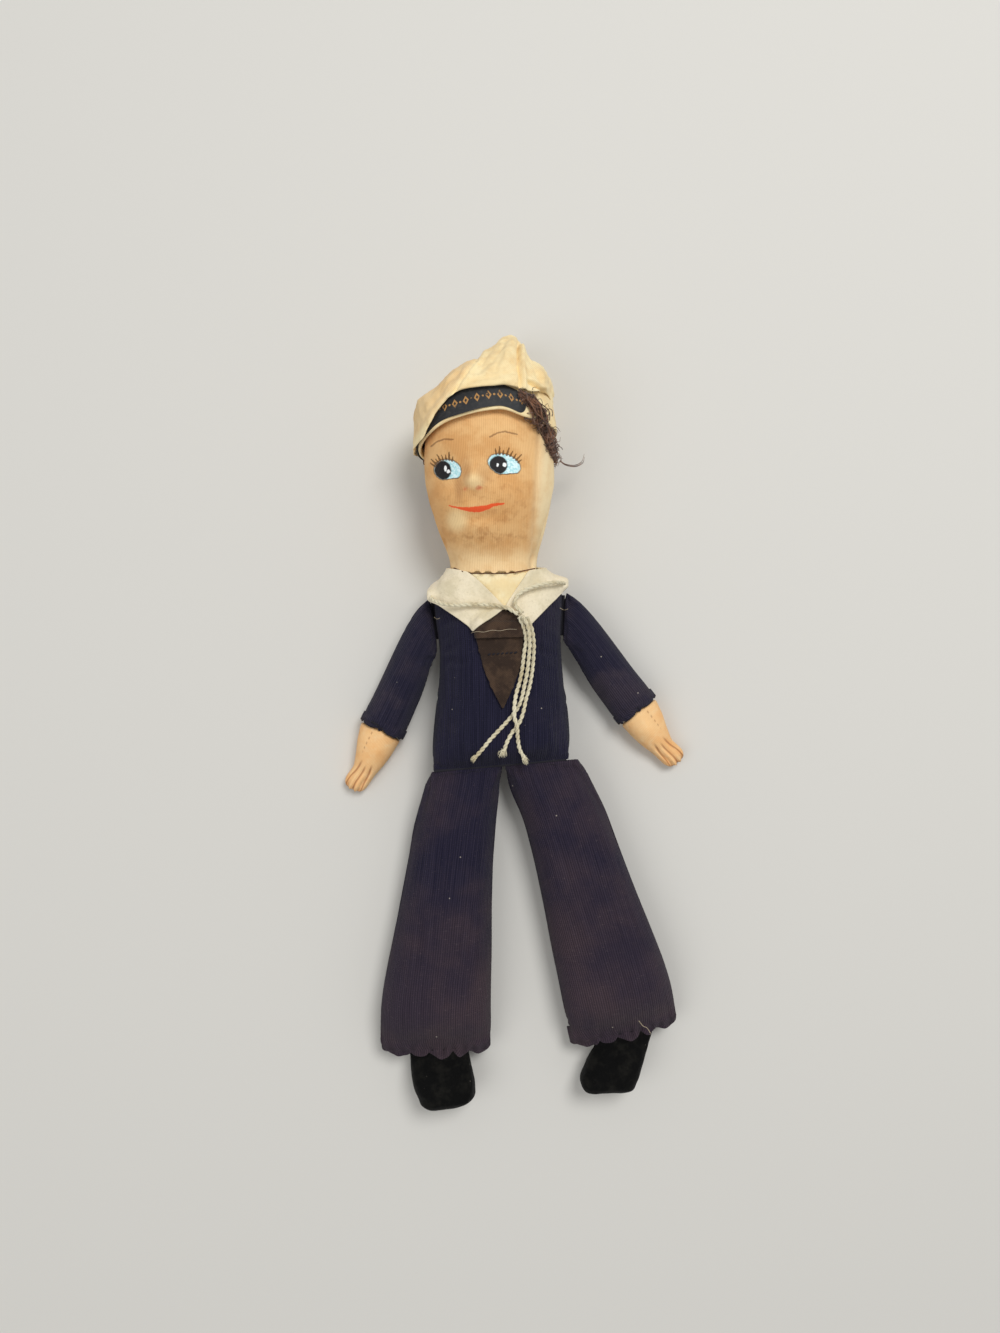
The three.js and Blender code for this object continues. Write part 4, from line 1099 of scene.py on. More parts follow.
def faceFinish():
    finish = Finish("faceCloth", SheenWeight=0.05)
    across, down = finish.weave()
    px, py = finish.onMap()
    px, py = px + (finish.clouds(1500) - 0.5) * 1.6, py + (finish.clouds(1320) - 0.5) * 1.6
    pixel = (px, py)
    spot = finish.add("ShaderNodeCombineXYZ", None, pixel)
    rib = across.ribs(0.5)
    row = down.ribs(0.36, rib * 2)
    grain = finish.clouds(2000, 2, 0.7)
    stains = finish.clouds(150, 5, 0.62)
    mottle = finish.clouds(480, 3, 0.6)
    # tan mask, browner over the cheeks, with painted highlights on the nose tip and one cheek, painted shade beside
    # the nose and between the eyes, and a darker mottled band low on the chin
    finish.ground(stains.rise(0.36, 0.66), (238, 192, 132), (220, 164, 102))
    cheeks = oval(pixel, 450, 505, 24, 26, 0.7).most(oval(pixel, 506, 500, 26, 26, 0.7))
    finish.wash(cheeks * 0.5, (224, 164, 98))
    finish.wash(mottle.rise(0.48, 0.7) * oval(pixel, 484, 508, 50, 40, 0.5) * 0.5, (186, 126, 70))
    # painted highlights on the nose tip and below the mouth's left corner
    pale = oval(pixel, 457, 520, 10, 11, 0.6).most(oval(pixel, 474, 481, 9, 7, 0.6))
    finish.wash(pale * 0.8, (255, 226, 170))
    # painted shade beside the nose and between the eyes
    shaded = oval(pixel, 459, 488, 4, 13, 0.8).most(oval(pixel, 465, 471, 5, 12, 0.8) * 0.7)
    shaded = shaded.most(oval(pixel, 484, 474, 7, 8, 0.8) * 0.6)
    finish.wash(shaded * 0.6, (166, 112, 66))
    finish.wash(oval(pixel, 490, 537, 38, 6, 0.8) * mottle.rise(0.4, 0.62) * 0.5, (188, 134, 80))
    # paler tan under the chin, and cream cloth past the mask's edge
    faded = stains.rise(0.4, 0.7)
    finish.wash(py.rise(540, 562) * 0.9, finish.mix(faded, (250, 218, 166), (236, 196, 140)))
    edge = (px - (537 - (py - 500) * 0.08)).rise(-9, 8)
    finish.wash(edge, finish.mix(faded, (255, 234, 188), (244, 214, 162)))
    # painted shade in the hollows of the knit and painted light on its ribs, with darker flecks
    finish.wash((1 - rib) * 0.2 + grain.rise(0.6, 0.8) * 0.16, (170, 118, 68))
    finish.wash(rib.rise(0.75, 1) * 0.16, (252, 220, 164))
    whites = []
    for eye in face["eyes"]:
        (x, y), (wide, high), (level, slope) = eye["at"], eye["size"], eye["floor"]
        low = py - (px - x) * slope
        lid = oval(pixel, x, y, wide + 0.9, high + 1, 0.06, eye["turn"]) * low.rise(level + 1.3, level + 0.7)
        finish.wash(lid * 0.85, (84, 58, 36))
        white = oval(pixel, x, y, wide, high, 0.05, eye["turn"]) * low.rise(level + 0.4, level - 0.4)
        finish.wash(white, finish.mix(finish.clouds(1700).rise(0.4, 0.6), (176, 226, 232), (224, 250, 252)))
        finish.wash(oval(pixel, *eye["iris"], *eye["irisSize"]) * white, (22, 18, 20))
        finish.wash(mostOf([oval(pixel, *light, 0.25) for light in eye["lights"]]), (250, 252, 250))
        finish.wash(manyStrokes(finish, spot, lashLines(eye)) * 0.85, (104, 68, 28))
        whites.append(white)
    brows = manyStrokes(finish, spot, [(a, b, 0.85, 0.75) for a, b in face["brows"]])
    finish.wash(brows * 0.6, (112, 70, 40))
    for x, y in face["nostrils"]:
        finish.wash(oval(pixel, x, y, 3, 2.2, 0.7) * mottle.rise(0.3, 0.6) * 0.75, (206, 98, 62))
    # the mouth: from its left end to its right, thickest just left of its middle
    x, y = face["mouth"]
    t = (px - x) / face["mouthHalf"]
    middle = y - t * t * 4.8 - t * 0.9 - t.hump(0.62, 0.28) * 2
    half = t.hump(0.1, 0.62) * 2.5 + 0.5
    lips = ((py - middle).abs() - half).rise(0.5, -0.5) * (t.abs() < 1)
    finish.wash(lips * 0.95, (236, 84, 38))
    height = rib * 0.5 + row * 0.25 + grain * 0.4 + mottle * 0.5
    return finish.done(height, 0.1, Roughness=0.86 - mostOf(whites) * 0.3, SpecularIORLevel=0.3)


reliefs = [
    # x, y, width, height of the form, and how far it stands out
    (-7.2, 61.3, 2.1, 2.4, 1.5), (-7.0, 64.2, 1.5, 3.4, 0.45), (-8.8, 60.6, 1.1, 1.1, 0.35),
    (-5.4, 60.6, 1.1, 1.1, 0.35), (-13.6, 57.2, 4.6, 4.2, 0.8), (0.6, 57.6, 5, 4.4, 0.8),
    (-6.4, 48.6, 4.6, 3.2, 0.8), (-6.8, 51.6, 4.6, 1.2, -0.4), (-6.9, 54.3, 5.6, 1.3, 0.45),
    (-14.8, 65.6, 3.6, 2.8, -0.55), (0.9, 66.2, 4.2, 3, -0.55), (-7, 72, 12, 3, 0.35),
    (-6.9, 57.6, 1, 1.6, -0.25),
]


def makeHead():
    # rings up to the top of the temples, and a dome of rings over them
    turns = [math.radians(turn) for turn in turnsOf(176)]
    domeFrom, domeRings = 73, 29

    def at(share, turn):
        low = neckAt.y + 0.1 - 2.2 * math.cos(turn)
        return headMiddle(lerp(low, domeFrom, share)), turn, 0

    spots = gridOf(58, turns, at)
    for r in range(1, domeRings + 1):
        spots.append([(headMiddle(domeFrom), turn, math.radians(88.5 * r / domeRings)) for turn in turns])
    rows = roundOn(treeOf("face_mask", "head_back"), spots)
    rows[0] = [onNeck(point + outward(point) * 0.15, -0.25) for point in rows[2]]
    rows[1] = [low.lerp(high, 0.5) for low, high in zip(rows[0], rows[2])]
    rows = relaxed(rows, 30, True)
    for row in rows:
        for point in row:
            out = outward(point, 75)
            if point.z > 20:
                for x, y, wide, high, stand in reliefs:
                    point += out * stand * hump(point.x, x, wide) * hump(point.y, y, high)
            px, py = pixelOf(point)
            if point.z > 12 and py > 425:
                # a groove along the mask's edge
                point -= out * 0.35 * hump(px, 536 - (py - 500) * 0.05, 1.8)
    sewn("head", rows, faceFinish(), "head", "tan_knit", ["face_mask", "head_back", "head_stuffing"], fill=0.95)


makeHead()
print("head made")


chestCloth = stockinetFinish("chestCloth", {
    "main": (255, 243, 202), "stain": (244, 222, 170), "light": (255, 250, 220), "deep": (206, 172, 118),
    "depth": 0.08,
})


def feltFinish():
    finish = Finish("collarFelt", Roughness=0.95, SheenWeight=0.15)
    fluff = finish.clouds(1500, 4, 0.72)
    finish.ground(finish.clouds(120, 4, 0.6).rise(0.4, 0.7), (238, 226, 198), (216, 204, 172))
    finish.wash(fluff.rise(0.52, 0.72) * 0.4, (190, 176, 142))
    return finish.done(fluff * 0.8 + finish.cells(1500) * 0.5, 0.14)


collarFelt = feltFinish()
collar = {
    "middle": Vector((-0.6, 0, 10.8)), "lift": 0.38, "cloth": 0.6, "columns": 250, "rows": 26, "covers": 76,
    # azimuth round the body, then the lower and the upper edge along it
    "edges": [
        (8.6, 27.9, 28.2), (-31.4, 21.2, 36.2), (-43, 23.4, 38.3), (-65, 27.7, 39.3), (-83, 31.0, 39.8),
        (-118, 31.4, 40.8), (-121, 9, 40.9), (-180, 8, 41.8), (-239, 9, 41), (-242, 34, 40.9),
        (-277, 34.0, 39.9), (-295, 29.6, 39.4), (-316.5, 23.9, 38.6), (-319.4, 23.1, 38.2), (-351.2, 27.9, 28.2),
    ],
}


def edgesAt(turn):
    marks = collar["edges"]
    for a, b in zip(marks, marks[1:]):
        if a[0] >= turn >= b[0]:
            t = (a[0] - turn) / (a[0] - b[0])
            return lerp(a[1], b[1], t), lerp(a[2], b[2], t)
    return marks[-1][1:]


def netRound(treeAt, turns, edges, count, lift, passes=0):
    # a net round the body between a lower and an upper edge; passes of smoothing draw it taut
    def spotAt(share, turn):
        low, high = edges(turn)
        y = lerp(low, high, share)
        way = Vector((math.sin(math.radians(turn)), 0, math.cos(math.radians(turn))))
        out = 0
        for near in (-0.8, 0, 0.8) if passes else (0,):
            middle = collar["middle"] + Vector((0, y + near, 0))
            hit = treeAt(turn).ray_cast((middle + way * 70) * mm, -way, 90 * mm)[0]
            out = max(out, (hit / mm - middle).length if hit is not None else 0)
        return out + lift, y

    spots = gridOf(count + 1, turns, spotAt)
    reach = least = [[out for out, _ in row] for row in spots]
    wide = len(turns) - 1
    for _ in range(passes):
        new = []
        for r, row in enumerate(reach):
            above, below = reach[min(r + 1, count)], reach[max(r - 1, 0)]
            new.append([
                max(least[r][k], (above[k] + below[k] + row[max(k - 1, 0)] + row[min(k + 1, wide)]) / 4)
                for k in range(wide + 1)
            ])
        reach = new
    rows = []
    for outs, row in zip(reach, spots):
        rows.append([])
        for turn, out, (_, y) in zip(turns, outs, row):
            angle = math.radians(turn)
            rows[-1].append(collar["middle"] + Vector((math.sin(angle) * out, y, math.cos(angle) * out)))
    return rows


def makeNeck():
    def edges(turn):
        low = 26.6 + 9.4 * smooth(2, 44, abs(turn - 3))
        return low, neckAt.y - 0.4 - 2.2 * math.cos(math.radians(turn))

    tree = treeOf("bodyCover", "chest_inset")
    rows = netRound(lambda turn: tree, turnsOf(120), edges, 22, 0.18)
    rows.append([onNeck(point, -0.03) for point in rows[-1]])
    rows = relaxed(rows, 4, True)
    for row, tuck in zip(rows[-4:], (0.05, 0.2, 0.35, 0.45)):
        for point in row:
            # the top edge is tucked in under the head's
            point -= (point - neckAt).normalized() * tuck
    sewn("chestCloth", rows, chestCloth, "torso", "cream_knit", ["chest_inset"], cloth=0.4, offset=-1)


def makeCollar():
    # in front it lies under the cord, and over the shoulders it covers the cord
    front = treeOf("bodyCover", "chestCloth", "scarfTail", "scarfFold")
    back = treeOf("bodyCover", "chestCloth", "lanyardLoop")
    covers = collar["covers"]
    turns = []
    for (a, *_), (b, *_) in zip(collar["edges"], collar["edges"][1:]):
        steps = max(1, round(abs(a - b) / 360 * collar["columns"]))
        turns += [lerp(a, b, j / steps) for j in range(steps)]
    turns.append(collar["edges"][-1][0])
    rows = netRound(
        lambda turn: front if turn > -covers or turn < covers - 360 else back,
        turns, edgesAt, collar["rows"], collar["lift"], 16,
    )
    for row in rows:
        for point in row:
            point += Vector((0, 0, 0.14)) * noise.noise(point * 0.5)
            point.z = max(point.z, 0.4)
    piece = sewn("collarCloth", rows, collarFelt, "torso", "collar_felt", ["collar"], cloth=collar["cloth"])


def scarfFinish():
    finish = Finish("scarfCloth", Roughness=0.95, SheenWeight=0.08, SpecularIORLevel=0.2)
    px, py = finish.onMap()
    threads = (px * 2.6).sin() * (py * 2.9).sin() * 0.5 + 0.5
    fluff = finish.clouds(1700, 3, 0.7)
    finish.ground(finish.clouds(190, 4, 0.65).rise(0.42, 0.68), (54, 41, 33), (80, 62, 48))
    finish.wash(fluff.rise(0.55, 0.8) * 0.4, (106, 86, 68))
    finish.wash(threads * 0.35, (28, 21, 18))
    return finish.done(threads * 0.5 + fluff * 0.7, 0.18)


scarfCloth = scarfFinish()
scarf = {
    "scarfTail": {
        "left": [(-6.9, 24), (-7.1, 19.5), (-4.9, 11.1), (-3, 6.2), (0.3, 0)],
        "right": [(6.3, 24), (6.2, 18), (5.6, 12), (3.6, 6.2), (0.7, 0)],
        "lift": 0.55, "replaces": "scarf_tail", "flat": (0.0145, 0.0245), "area": 0.00023, "rests": ["bodyCover"],
        "ragged": 0.6, "rumple": 0.55,
    },
    "scarfFold": {
        "left": [(-0.4, 27.4), (-4.6, 25), (-7.9, 22.7), (-7.6, 21), (-7.2, 19.3)],
        "right": [(0.8, 27.2), (5.2, 25.6), (6.5, 24), (6.5, 22), (6.4, 19.7)],
        "lift": 0.8, "replaces": "scarf_fold", "flat": (0.0145, 0.0101), "area": 0.0001, "rests": ["scarfTail"],
        "ragged": 0.3, "rumple": 0.5,
    },
}


def makeScarf(name, look):
    tree = treeOf("bodyCover", "chestCloth", *([] if name == "scarfTail" else ["scarfTail"]))
    count, columns = 44, 26
    left, right = [evened([Vector((*spot, 0)) for spot in look[side]], count + 1) for side in ("left", "right")]
    rows = []
    for r, (a, b) in enumerate(zip(left, right)):
        rows.append([])
        for k in range(columns + 1):
            u = k / columns
            point = a.lerp(b, u)
            point.x += look["ragged"] * (abs(u - 0.5) * 2) ** 6 * noise.noise(Vector((point.y * 1.9, u * 3, 5)))
            if r in (0, count):
                point.y += look["ragged"] * noise.noise(Vector((point.x * 1.5, 2, 7)))
            height = heightOn(tree, point, reach=1000)
            point.z = height + look["lift"] + look["rumple"] * (noise.noise(point * 0.42) + 0.3)
            rows[-1].append(point)
    rows = relaxed(rows, 2, False)
    piece = sewn(name, rows, scarfCloth, "torso", "scarf_cloth", [look["replaces"]], cloth=0.5)
    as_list(look["rests"])


makeNeck()
for scarfName, scarfLook in scarf.items():
    makeScarf(scarfName, scarfLook)
makeCollar()
print("collar and scarf made")


cap = {
    "rise": 35.3, "lean": -17.4, "tilt": 4.3, "halfWidth": 18.75, "halfDepth": 17.0,
    "bandHeight": 8, "bandCloth": 0.9, "crownHeight": 19.4, "peakShift": 9,
    # how far the band's lower edge has sunk at each azimuth, in millimetres
    "drops": [(-180, 0), (-125, 0), (-62, 2.2), (-25, 1.5), (8, 1), (32, 3.2), (52, 3.5), (115, 0), (180, 0)],
    # how far the crown rolls down over the ribbon at each azimuth
    "falls": [(-180, 2.4), (-165, 2.4), (-120, 8), (-85, 12.5), (-56, 15), (-44, 12.5), (-34, 8.8), (-23, 5.8),
              (8, 5.6), (32, 7.2), (52, 5), (115, 2.4), (180, 2.4)],
    # where the photograph has the crown: pixel, reach and step, in pixels
    "nudges": [
        ((509, 346), (18, 16), (0, -13)), ((560, 402), (14, 16), (-9, 0)), ((408, 425), (14, 30), (5, 0)),
        ((432, 384), (22, 18), (3, 5)),
    ],
    # share of the crown's height, shift, width and depth there
    "crown": [
        (0, 0, 1, 1), (0.12, 0.05, 0.96, 0.98), (0.24, 0.18, 0.86, 0.91), (0.45, 0.41, 0.68, 0.76),
        (0.71, 0.67, 0.41, 0.5), (0.91, 0.95, 0.18, 0.25), (1, 1, 0.07, 0.1),
    ],
    # folds as the photograph shows them: from, to, width in its pixels, groove and ridge in millimetres
    "folds": [
        ((452, 390), (481, 353), 3, 0.9, 0.5), ((518, 336), (521, 388), 2.6, 1.9, 0.9),
        ((525, 346), (540, 380), 3.4, 0.7, 0.6), ((531, 383), (545, 391), 2.4, 1.7, 0.9),
        ((536, 396), (553, 403), 3, 1.3, 0.9), ((470, 381), (516, 372), 4, 0.35, 0.5),
        ((484, 369), (512, 347), 4, 0.4, 0.45), ((440, 388), (418, 425), 4, 0.3, 0.4),
    ],
}
capMatrix = (
    headMatrix @ Matrix.Translation((0, cap["rise"], 5.3))
    @ Matrix.Rotation(math.radians(cap["lean"]), 4, "X") @ Matrix.Rotation(math.radians(cap["tilt"]), 4, "Z")
)


def capSpot(turn, rise, grow, shift=0, wide=1, deep=1):
    # a point of the cap: azimuth, height above the band's lower edge and distance outside the head
    s, c = math.sin(turn), math.cos(turn)
    power = 2 / 2.2
    x = shift + math.copysign(abs(s) ** power, s) * (cap["halfWidth"] * wide + grow)
    z = math.copysign(abs(c) ** power, c) * (cap["halfDepth"] * deep + grow)
    point = capMatrix @ Vector((x, rise, z))
    point.z = max(point.z, 0.15 + 0.2 * (1 + math.sin(rise * 1.3)) * 0.5)
    return point


def cottonFinish():
    finish = Finish("capCotton", Roughness=0.9, SheenWeight=0.1)
    px, py = finish.onMap()
    weave = (px * 3.1).sin() * (py * 3.1).sin() * 0.5 + 0.5
    fine = finish.clouds(900, 3, 0.65)
    finish.ground(finish.clouds(110, 5, 0.62).rise(0.38, 0.68), (255, 236, 186), (240, 210, 154))
    # the crown's left side, where it hangs over the band, tan: partly dirt and partly painted shade
    left = (px - (456 + (386 - py) * 0.78)).rise(3, -5)
    finish.wash(left * 0.5, (220, 172, 112))
    finish.wash(fine.rise(0.55, 0.75) * 0.25, (196, 160, 104))
    finish.wash((1 - weave) * 0.12, (160, 126, 80))
    return finish.done(weave * 0.4 + fine * 0.8, 0.14)


def ribbonFinish():
    finish = Finish("capRibbon", Roughness=0.55, SheenWeight=0.1)
    across, down = finish.weave()
    weft = down.ribs(0.28)
    dust = finish.clouds(700, 3, 0.65)
    finish.ground(dust.rise(0.45, 0.75), (26, 29, 33), (52, 52, 52))
    # a plain row of woven gold lozenges and dots
    half = ribbon["pitch"] / 2
    cell = finish.add("ShaderNodeMath", {"operation": "PINGPONG"}, [across, half])
    rise = (down - ribbon["width"] / 2).abs()
    away = cell / 0.85 + rise / 1.35
    dot = (((cell - half) / 0.32) ** 2 + (rise / 0.32) ** 2).rise(1.2, 0.8)
    gold = (away.rise(1.08, 0.92) - away.rise(0.5, 0.38)).most(dot)
    finish.wash(gold * finish.clouds(800).rise(0.68, 0.5) * 0.9, (190, 140, 76))
    return finish.done(weft * 0.6 + gold * 0.8 + dust * 0.3, 0.07)


ribbon = {"width": 7, "pitch": 3.1, "lift": 0.45, "cloth": 0.35, "from": -112, "to": 31, "low": 0.4, "round": 0.06}
capCotton = cottonFinish()


def capMark(name, turn):
    # a value of the cap's tables at an azimuth
    spot = math.degrees(turn)
    for a, b in zip(cap[name], cap[name][1:]):
        if spot <= b[0]:
            return lerp(a[1], b[1], smooth(a[0], b[0], spot))
    return cap[name][-1][1]


def makeBand():
    def at(share, turn):
        rise = lerp(-capMark("drops", turn), cap["bandHeight"], share)
        return capSpot(turn, rise, cap["bandCloth"] + 0.18 * math.sin(7 * turn) * (share == 0))

    rows = gridOf(11, [math.radians(turn) for turn in turnsOf(160)], at)
    sewn("capBand", rows, capCotton, "head", "cap_cotton", ["cap_band"], cloth=cap["bandCloth"], offset=-1)


def makeTally():
    steps = 12
    rows = []
    for r in range(steps + 1):
        rows.append([])
        for t in turnsOf(150, 0, 1):
            turn = math.radians(lerp(ribbon["from"], ribbon["to"], t))
            end = max(0, (t - 1) / ribbon["round"] + 1)
            width = ribbon["width"] * math.sqrt(max(0.01, 1 - end * end)) * (1 + 0.05 * math.sin(t * 21))
            low = ribbon["low"] - capMark("drops", turn)
            rise = low + (ribbon["width"] - width) / 2 + width * r / steps
            curl = 0.35 * math.sin(t * 17 + 1) * (r / steps) ** 3 + 0.25 * math.sin(t * 11) * (1 - r / steps) ** 3
            rows[-1].append(capSpot(turn, rise, cap["bandCloth"] + ribbon["lift"] + curl))
    sewn("capTally", rows, ribbonFinish(), "head", "ribbon", ["cap_tally"], cloth=ribbon["cloth"], offset=-1)


def crownAt(share):
    marks = cap["crown"]
    for a, b in zip(marks, marks[1:]):
        if share <= b[0]:
            t = (share - a[0]) / (b[0] - a[0])
            return [lerp(x, y, t) for x, y in zip(a[1:], b[1:])]
    return marks[-1][1:]


def foldsAt(spot):
    # how far the cap's folds lift the cloth at a pixel: a groove with a ridge to its right
    height = 0
    for start, end, width, groove, ridge in cap["folds"]:
        a, b, p = Vector(start), Vector(end), Vector(spot)
        length = (b - a).length
        way = (b - a) / length
        run = (p - a).dot(way)
        off = (p - a).dot(Vector((way.y, -way.x))) * (1 if way.y > 0 else -1) / width
        beyond = max(0, -run, run - length) / (width * 1.6)
        if abs(off) < 5 and beyond < 2.5:
            fade = math.exp(-beyond * beyond)
            height += fade * (ridge * math.exp(-((off - 1.3) ** 2)) - groove * math.exp(-((off / 0.62) ** 2)))
    return height


def makeCrown():
    def at(share, turn):
        # the crown rests on the ribbon's top edge, and on the left it hangs over the ribbon
        over = capMark("falls", turn) + 0.3 * math.sin(9 * turn + 1)
        fall = over * math.sin(min(1, share / 0.14) * math.pi / 2) * (1 - smooth(0.14, 0.5, share))
        rise = cap["bandHeight"] + 0.1 + cap["crownHeight"] * share - fall
        level = min(1, max(0, (rise - cap["bandHeight"]) / cap["crownHeight"]))
        shift, wide, deep = crownAt(level)
        gathers = 0.3 * math.cos(23 * turn + 1.5 * math.sin(3 * turn)) * math.exp(-share * 7)
        side = hump(math.degrees(turn), 78, 40)
        gathers += 0.7 * side * math.sin(9 * turn + 4 * share) * share * (1 - share) * 3
        roll = 0.9 * smooth(0.07, 0.15, share) * (1 - smooth(0.2, 0.6, share))
        grow = (lerp(1.1, 2.2, min(1, share / 0.03)) + gathers + roll) * (1 - 0.7 * level)
        return capSpot(turn, rise, grow, shift * cap["peakShift"], wide, deep)

    def swollen(piece):
        # only the edge that is sewn to the band stays
        low = [v.index for v in piece.data.vertices if (fromCap @ (v.co / mm)).y < cap["bandHeight"] + 0.8]
        puffed(piece, low, {"cap": 0.6, "pressure": 1.5, "shrink": -0.08, "bending": 0.12})

    rows = relaxed(gridOf(62, [math.radians(turn) for turn in turnsOf(170)], at), 4, True)
    fromCap = capMatrix.inverted()
    centre = capMatrix @ Vector((3, 12, 0))
    inner = [point + (centre - point).normalized() * 0.8 for point in rows[0]]
    crown = sewn("capCrown", [inner] + rows, capCotton, "head", "cap_cotton", swell=swollen)
    for vert in crown.data.vertices:
        point = vert.co / mm
        out = (point - centre).normalized()
        rumple = 0.35 * noise.noise(point * 0.33) + 0.22 * noise.noise(point * 0.8) + 0.08 * noise.noise(point * 2)
        if point.z > 12:
            rumple += foldsAt(pixelOf(point)) * smooth(12, 18, point.z)
        point += out * rumple
        px, py = pixelOf(point)
        for spot, reach, step in cap["nudges"]:
            share = hump(px, spot[0], reach[0]) * hump(py, spot[1], reach[1])
            point += (onPhoto(px + step[0], py + step[1], point.z) - onPhoto(px, py, point.z)) * share
        vert.co = Vector((point.x, point.y, max(point.z, 0.15))) * mm
    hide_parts("cap_crown")


makeBand()
makeTally()
makeCrown()
print("cap made")


def mohairFinish():
    finish = Finish("mohair", Roughness=0.6, SheenWeight=0.3)
    fibres = finish.clouds(2300, 3, 0.7)
    finish.ground(finish.clouds(420, 3, 0.6).rise(0.35, 0.65), (72, 42, 28), (128, 84, 54))
    finish.wash(fibres.rise(0.55, 0.75) * 0.45, (176, 136, 104))
    return finish.done(fibres, 0.12)


mohair = mohairFinish()
hair = {"seed": 21, "mat": 240, "curls": 230, "strands": 70, "fibre": 0.12}


def curlOn(bm, seeded, start, way, long, loop, turns):
    # one springy curl of a few dozen faces
    side = way.orthogonal().normalized()
    up = way.cross(side)
    phase = seeded.uniform(0, 6.28)
    points = []
    steps = max(7, int(turns * 7))
    for j in range(steps + 1):
        t = j / steps
        turn = phase + turns * 6.28 * t
        size = loop * (0.75 + 0.4 * math.sin(t * 3.1))
        point = start + way * long * t + (side * math.cos(turn) + up * math.sin(turn)) * size
        point.z = max(point.z, 0.2)
        points.append(point)
    hairOn(bm, points, hair["fibre"] * seeded.uniform(0.8, 1.5), 3, 0.5)


def makeWig():
    # a matted fringe on the sides and back of the head, under the band
    def at(share, turn):
        side = smooth(50, 82, abs(turn - 180))
        low = lerp(57, 72.5 if turn < 180 else 74.5, side)
        return headMiddle(lerp(low, lerp(79, 77.5, side), share)), math.radians(turn), 0

    seeded = random.Random(hair["seed"])
    count = 15
    rows = roundOn(treeOf("head"), gridOf(count, turnsOf(100, 70, 284), at), 0.75)
    rows = relaxed(rows, 4, False)
    for r, row in enumerate(rows):
        edge = math.sin(math.pi * (r / (count - 1)))
        for point in row:
            rough = 0.45 * noise.noise(point * 0.9) + 0.25 * noise.noise(point * 2.1) + 0.35 * edge
            point += outward(point) * rough
            point.z = max(point.z, 0.3)
    bm = bmesh.new()
    netOf(bm, rows, clothUvs(rows))
    closeNet(bm, ends=False)
    wig = pieceFrom(bm, "wigMat", mohair, "head", "mohair")
    finishWith(wig, "SOLIDIFY", thickness=0.9 * mm, offset=-1)
    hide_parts("wig")
    bm = bmesh.new()
    for _ in range(hair["mat"]):
        row = rows[seeded.randrange(1, count - 1)]
        start = row[seeded.randrange(len(row))]
        out = outward(start)
        way = scattered(seeded, 1) + Vector((0, -0.7, 0))
        way = (way - out * way.dot(out) * 0.8).normalized()
        form = seeded.uniform(2, 4.5), seeded.uniform(0.4, 0.8), seeded.uniform(0.8, 1.6)
        curlOn(bm, seeded, start + out * 0.2, way, *form)
    closedFrom(bm, "wigCurls", mohair, "head", "mohair")


temple = {
    # pixels of the photograph and the half width of the hair there, in millimetres
    "path": [(520, 394, 1), (527, 399, 1.7), (534, 406, 2.3), (539, 415, 2.6), (543, 425, 2.4), (546, 436, 1.8),
             (549, 446, 1.3), (552, 454, 0.8), (555, 461, 0.4)],
}


def makeSideCurls():
    seeded = random.Random(hair["seed"] + 1)
    tree = treeOf("head", "capBand", "capTally")
    path = [seenAt(tree, px, py, 0.9) for px, py, _ in temple["path"]]
    widths = [wide for _, _, wide in temple["path"]]
    bm = bmesh.new()
    for n in range(hair["curls"]):
        t = (n + 0.5) / hair["curls"]
        start = along(path, t) + scattered(seeded, widths[int(t * len(widths))] * 0.42)
        way = (along(path, t + 0.15) - along(path, t - 0.1)).normalized()
        way += scattered(seeded, 0.5)
        form = seeded.uniform(1.6, 4.2), seeded.uniform(0.5, 1.1), seeded.uniform(0.8, 2)
        curlOn(bm, seeded, start, way.normalized(), *form)
    # a dense lock of wavy strands under the curls
    for _ in range(hair["strands"]):
        off = scattered(seeded, 0.42)
        first, last = seeded.choice((0, 0, 1, 2, 3)), seeded.choice((5, 6, 7, 8, 8, 9))
        phase = seeded.uniform(0, 6.28)
        line = []
        for k in range(first, last):
            wave = Vector((math.sin(k * 2.1 + phase), math.cos(k * 1.7 + phase), math.sin(k * 1.3 + phase))) * 0.45
            line.append(path[k] + (off * widths[k] + wave * min(1, widths[k])))
        hairOn(bm, splineThrough(line, 4), seeded.uniform(0.12, 0.26), 4, 0.2)
    closedFrom(bm, "sideCurls", mohair, "head", "mohair", "side_curls")


def makeStrayLock():
    route = [(20.3, 29.2, 2.3), (21.9, 28.5, 0.3), (24.9, 28.4, -1.7), (27, 29.6, -2.7), (27.9, 32, -3.2)]
    line = evened(splineThrough([headMatrix @ Vector(p) for p in route]), 40)
    seeded = random.Random(4)
    bm = bmesh.new()
    for _ in range(5):
        off = scattered(seeded, 0.12)
        end = int(len(line) * seeded.uniform(0.75, 1))
        hairOn(bm, [p + off * (1 + k / 30) for k, p in enumerate(line[:end])], 0.11, 5, 0.4)
    closedFrom(bm, "strayLock", mohair, "head", "mohair", "stray_lock")


makeWig()
makeSideCurls()
makeStrayLock()
print("hair made")


def plainThread(name, color):
    finish = Finish(name, Roughness=0.9)
    fuzz = finish.clouds(2200).rise(0.4, 0.7) * 0.4
    finish.set(BaseColor=finish.mix(fuzz, color, [part * 0.6 for part in color]))
    return finish.material


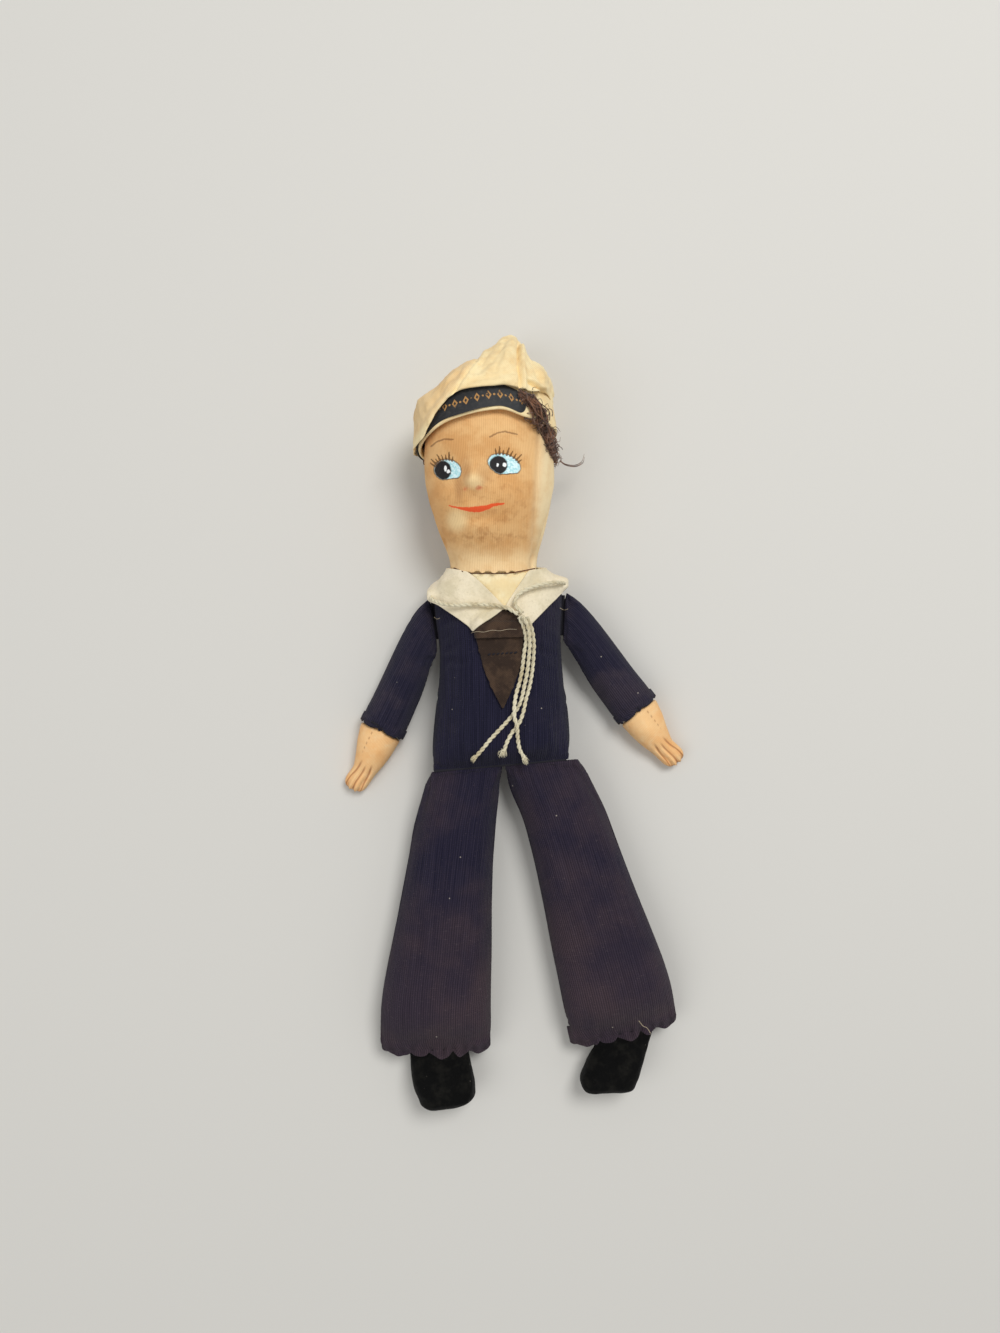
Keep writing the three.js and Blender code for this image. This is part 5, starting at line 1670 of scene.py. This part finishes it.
threads = {
    "dark": plainThread("darkThread", (22, 20, 30)),
    "pale": plainThread("paleThread", (190, 174, 148)),
    "brown": plainThread("brownThread", (104, 62, 38)),
}
seams = {
    # a seam's middle, its direction, how far it runs each way, and the thickness of its fold
    "waistSeam": {"at": (0, -16.6, 15), "turn": 5, "runs": (-19.2, 18.7), "radius": 0.42},
    "shoulderSeamRight": {"at": (-19.29, 25.3, 8.9), "turn": 97.2, "runs": (-5.8, 5.6), "radius": 0.65},
    "shoulderSeamLeft": {"at": (17.9, 27, 8.9), "turn": 87.8, "runs": (-6.4, 5.3), "radius": 0.65},
}
stitches = {
    # pixels of the photograph, the pieces they lie on, the thread and its radius
    "neckSeam": {
        "lines": [[(454, 568.2), (467.5, 572.6), (489, 573.2), (509, 573), (522, 571), (535, 568.4)]],
        "on": ["head", "chestCloth"], "body": "torso", "slot": "cream_knit",
        "material": "brown", "radius": 0.2, "lift": 0.05,
    },
    "scarfThread": {
        "lines": [[(471, 633), (477, 631.6), (484, 632), (492, 630.2), (500, 630.8), (508, 629.2), (517, 629.4)]],
        "on": ["bodyCover", "collarCloth", "scarfTail", "scarfFold"], "body": "torso", "slot": "scarf_cloth",
        "material": "pale", "radius": 0.07, "lift": 0.05,
    },
    "scarfStitches": {
        "lines": [[(488 + 4.4 * n, 655 - 0.3 * n), (490.6 + 4.4 * n, 653.6 - 0.3 * n)] for n in range(7)],
        "on": ["scarfTail", "scarfFold"], "body": "torso", "slot": "scarf_cloth",
        "material": "dark", "radius": 0.26, "lift": 0.02,
    },
    "cuffStitch": {
        "lines": [[(371.5, 721.5), (375, 723.6), (379, 726)]],
        "on": ["cuffRight", "handRight", "sleeveRight"], "body": "arm_right", "slot": "navy_knit",
        "material": "dark", "radius": 0.3, "lift": 0.1,
    },
    "shoeThread": {
        "lines": [[(639, 1021), (643, 1026), (647, 1028), (651, 1034)]],
        "on": ["hemLeft", "shoeLeft", "trouserLeft"], "body": "leg_left", "slot": "faded_knit",
        "material": "pale", "radius": 0.1, "lift": 0.1,
    },
    "shoulderThreads": {
        "lines": [[(560, 608), (564, 610), (568, 609)], [(434, 617), (437, 619), (440, 618)]],
        "on": ["bodyCover", "sleeveLeft", "sleeveRight"], "body": "torso", "slot": "navy_knit",
        "material": "pale", "radius": 0.09, "lift": 0.08,
    },
}


def makeThreads():
    for name, look in seams.items():
        way = flatWay(math.radians(look["turn"]))
        points = [Vector(look["at"]) + way * lerp(*look["runs"], k / 40) for k in range(41)]
        bm = bmesh.new()
        hairOn(bm, points, look["radius"], 8, 0.8)
        closedFrom(bm, name, threads["dark"], "torso", "navy_knit")
    for name, look in stitches.items():
        tree = treeOf(*look["on"])
        bm = bmesh.new()
        for line in look["lines"]:
            flat = [Vector((*spot, 0)) for spot in line]
            flat = splineThrough(flat, 6) if len(flat) > 2 else [flat[0].lerp(flat[1], t / 4) for t in range(5)]
            hairOn(bm, [seenAt(tree, spot.x, spot.y, look["lift"]) for spot in flat], look["radius"], 6, 0.7)
        closedFrom(bm, name, threads[look["material"]], look["body"], look["slot"])


makeThreads()
print("threads made")

# where each lamp stands, its size and its power, in metres and watts
lamps = {
    "windowLamp": ((0.3, 0.45, 0.9), 0.45, 6.0),
    "fillLamp": ((-0.6, -0.2, 0.9), 0.8, 2.3),
}
skyStrength = 0.42


def makeStage():
    finish = Finish("floorPaper", Roughness=0.9, BaseColor=tone(214, 212, 206))
    bpy.ops.mesh.primitive_plane_add(size=6, location=(0, 0, -0.2 * mm))
    floor = bpy.context.object
    floor.name = "floor"
    floor.data.materials.append(finish.material)
    world = bpy.data.worlds.new("studio")
    scene.world = world
    world.use_nodes = True
    sky = world.node_tree.nodes["Background"]
    sky.inputs["Color"].default_value = (1, 1, 1, 1)
    sky.inputs["Strength"].default_value = skyStrength
    for name, (place, size, power) in lamps.items():
        data = bpy.data.lights.new(name, "AREA")
        data.shape = "DISK"
        data.size = size
        data.energy = power
        lamp = bpy.data.objects.new(name, data)
        lamp.location = place
        lamp.rotation_euler = (-lamp.location).to_track_quat("-Z", "Y").to_euler()
        scene.collection.objects.link(lamp)


makeStage()
print("floor and lamps made")
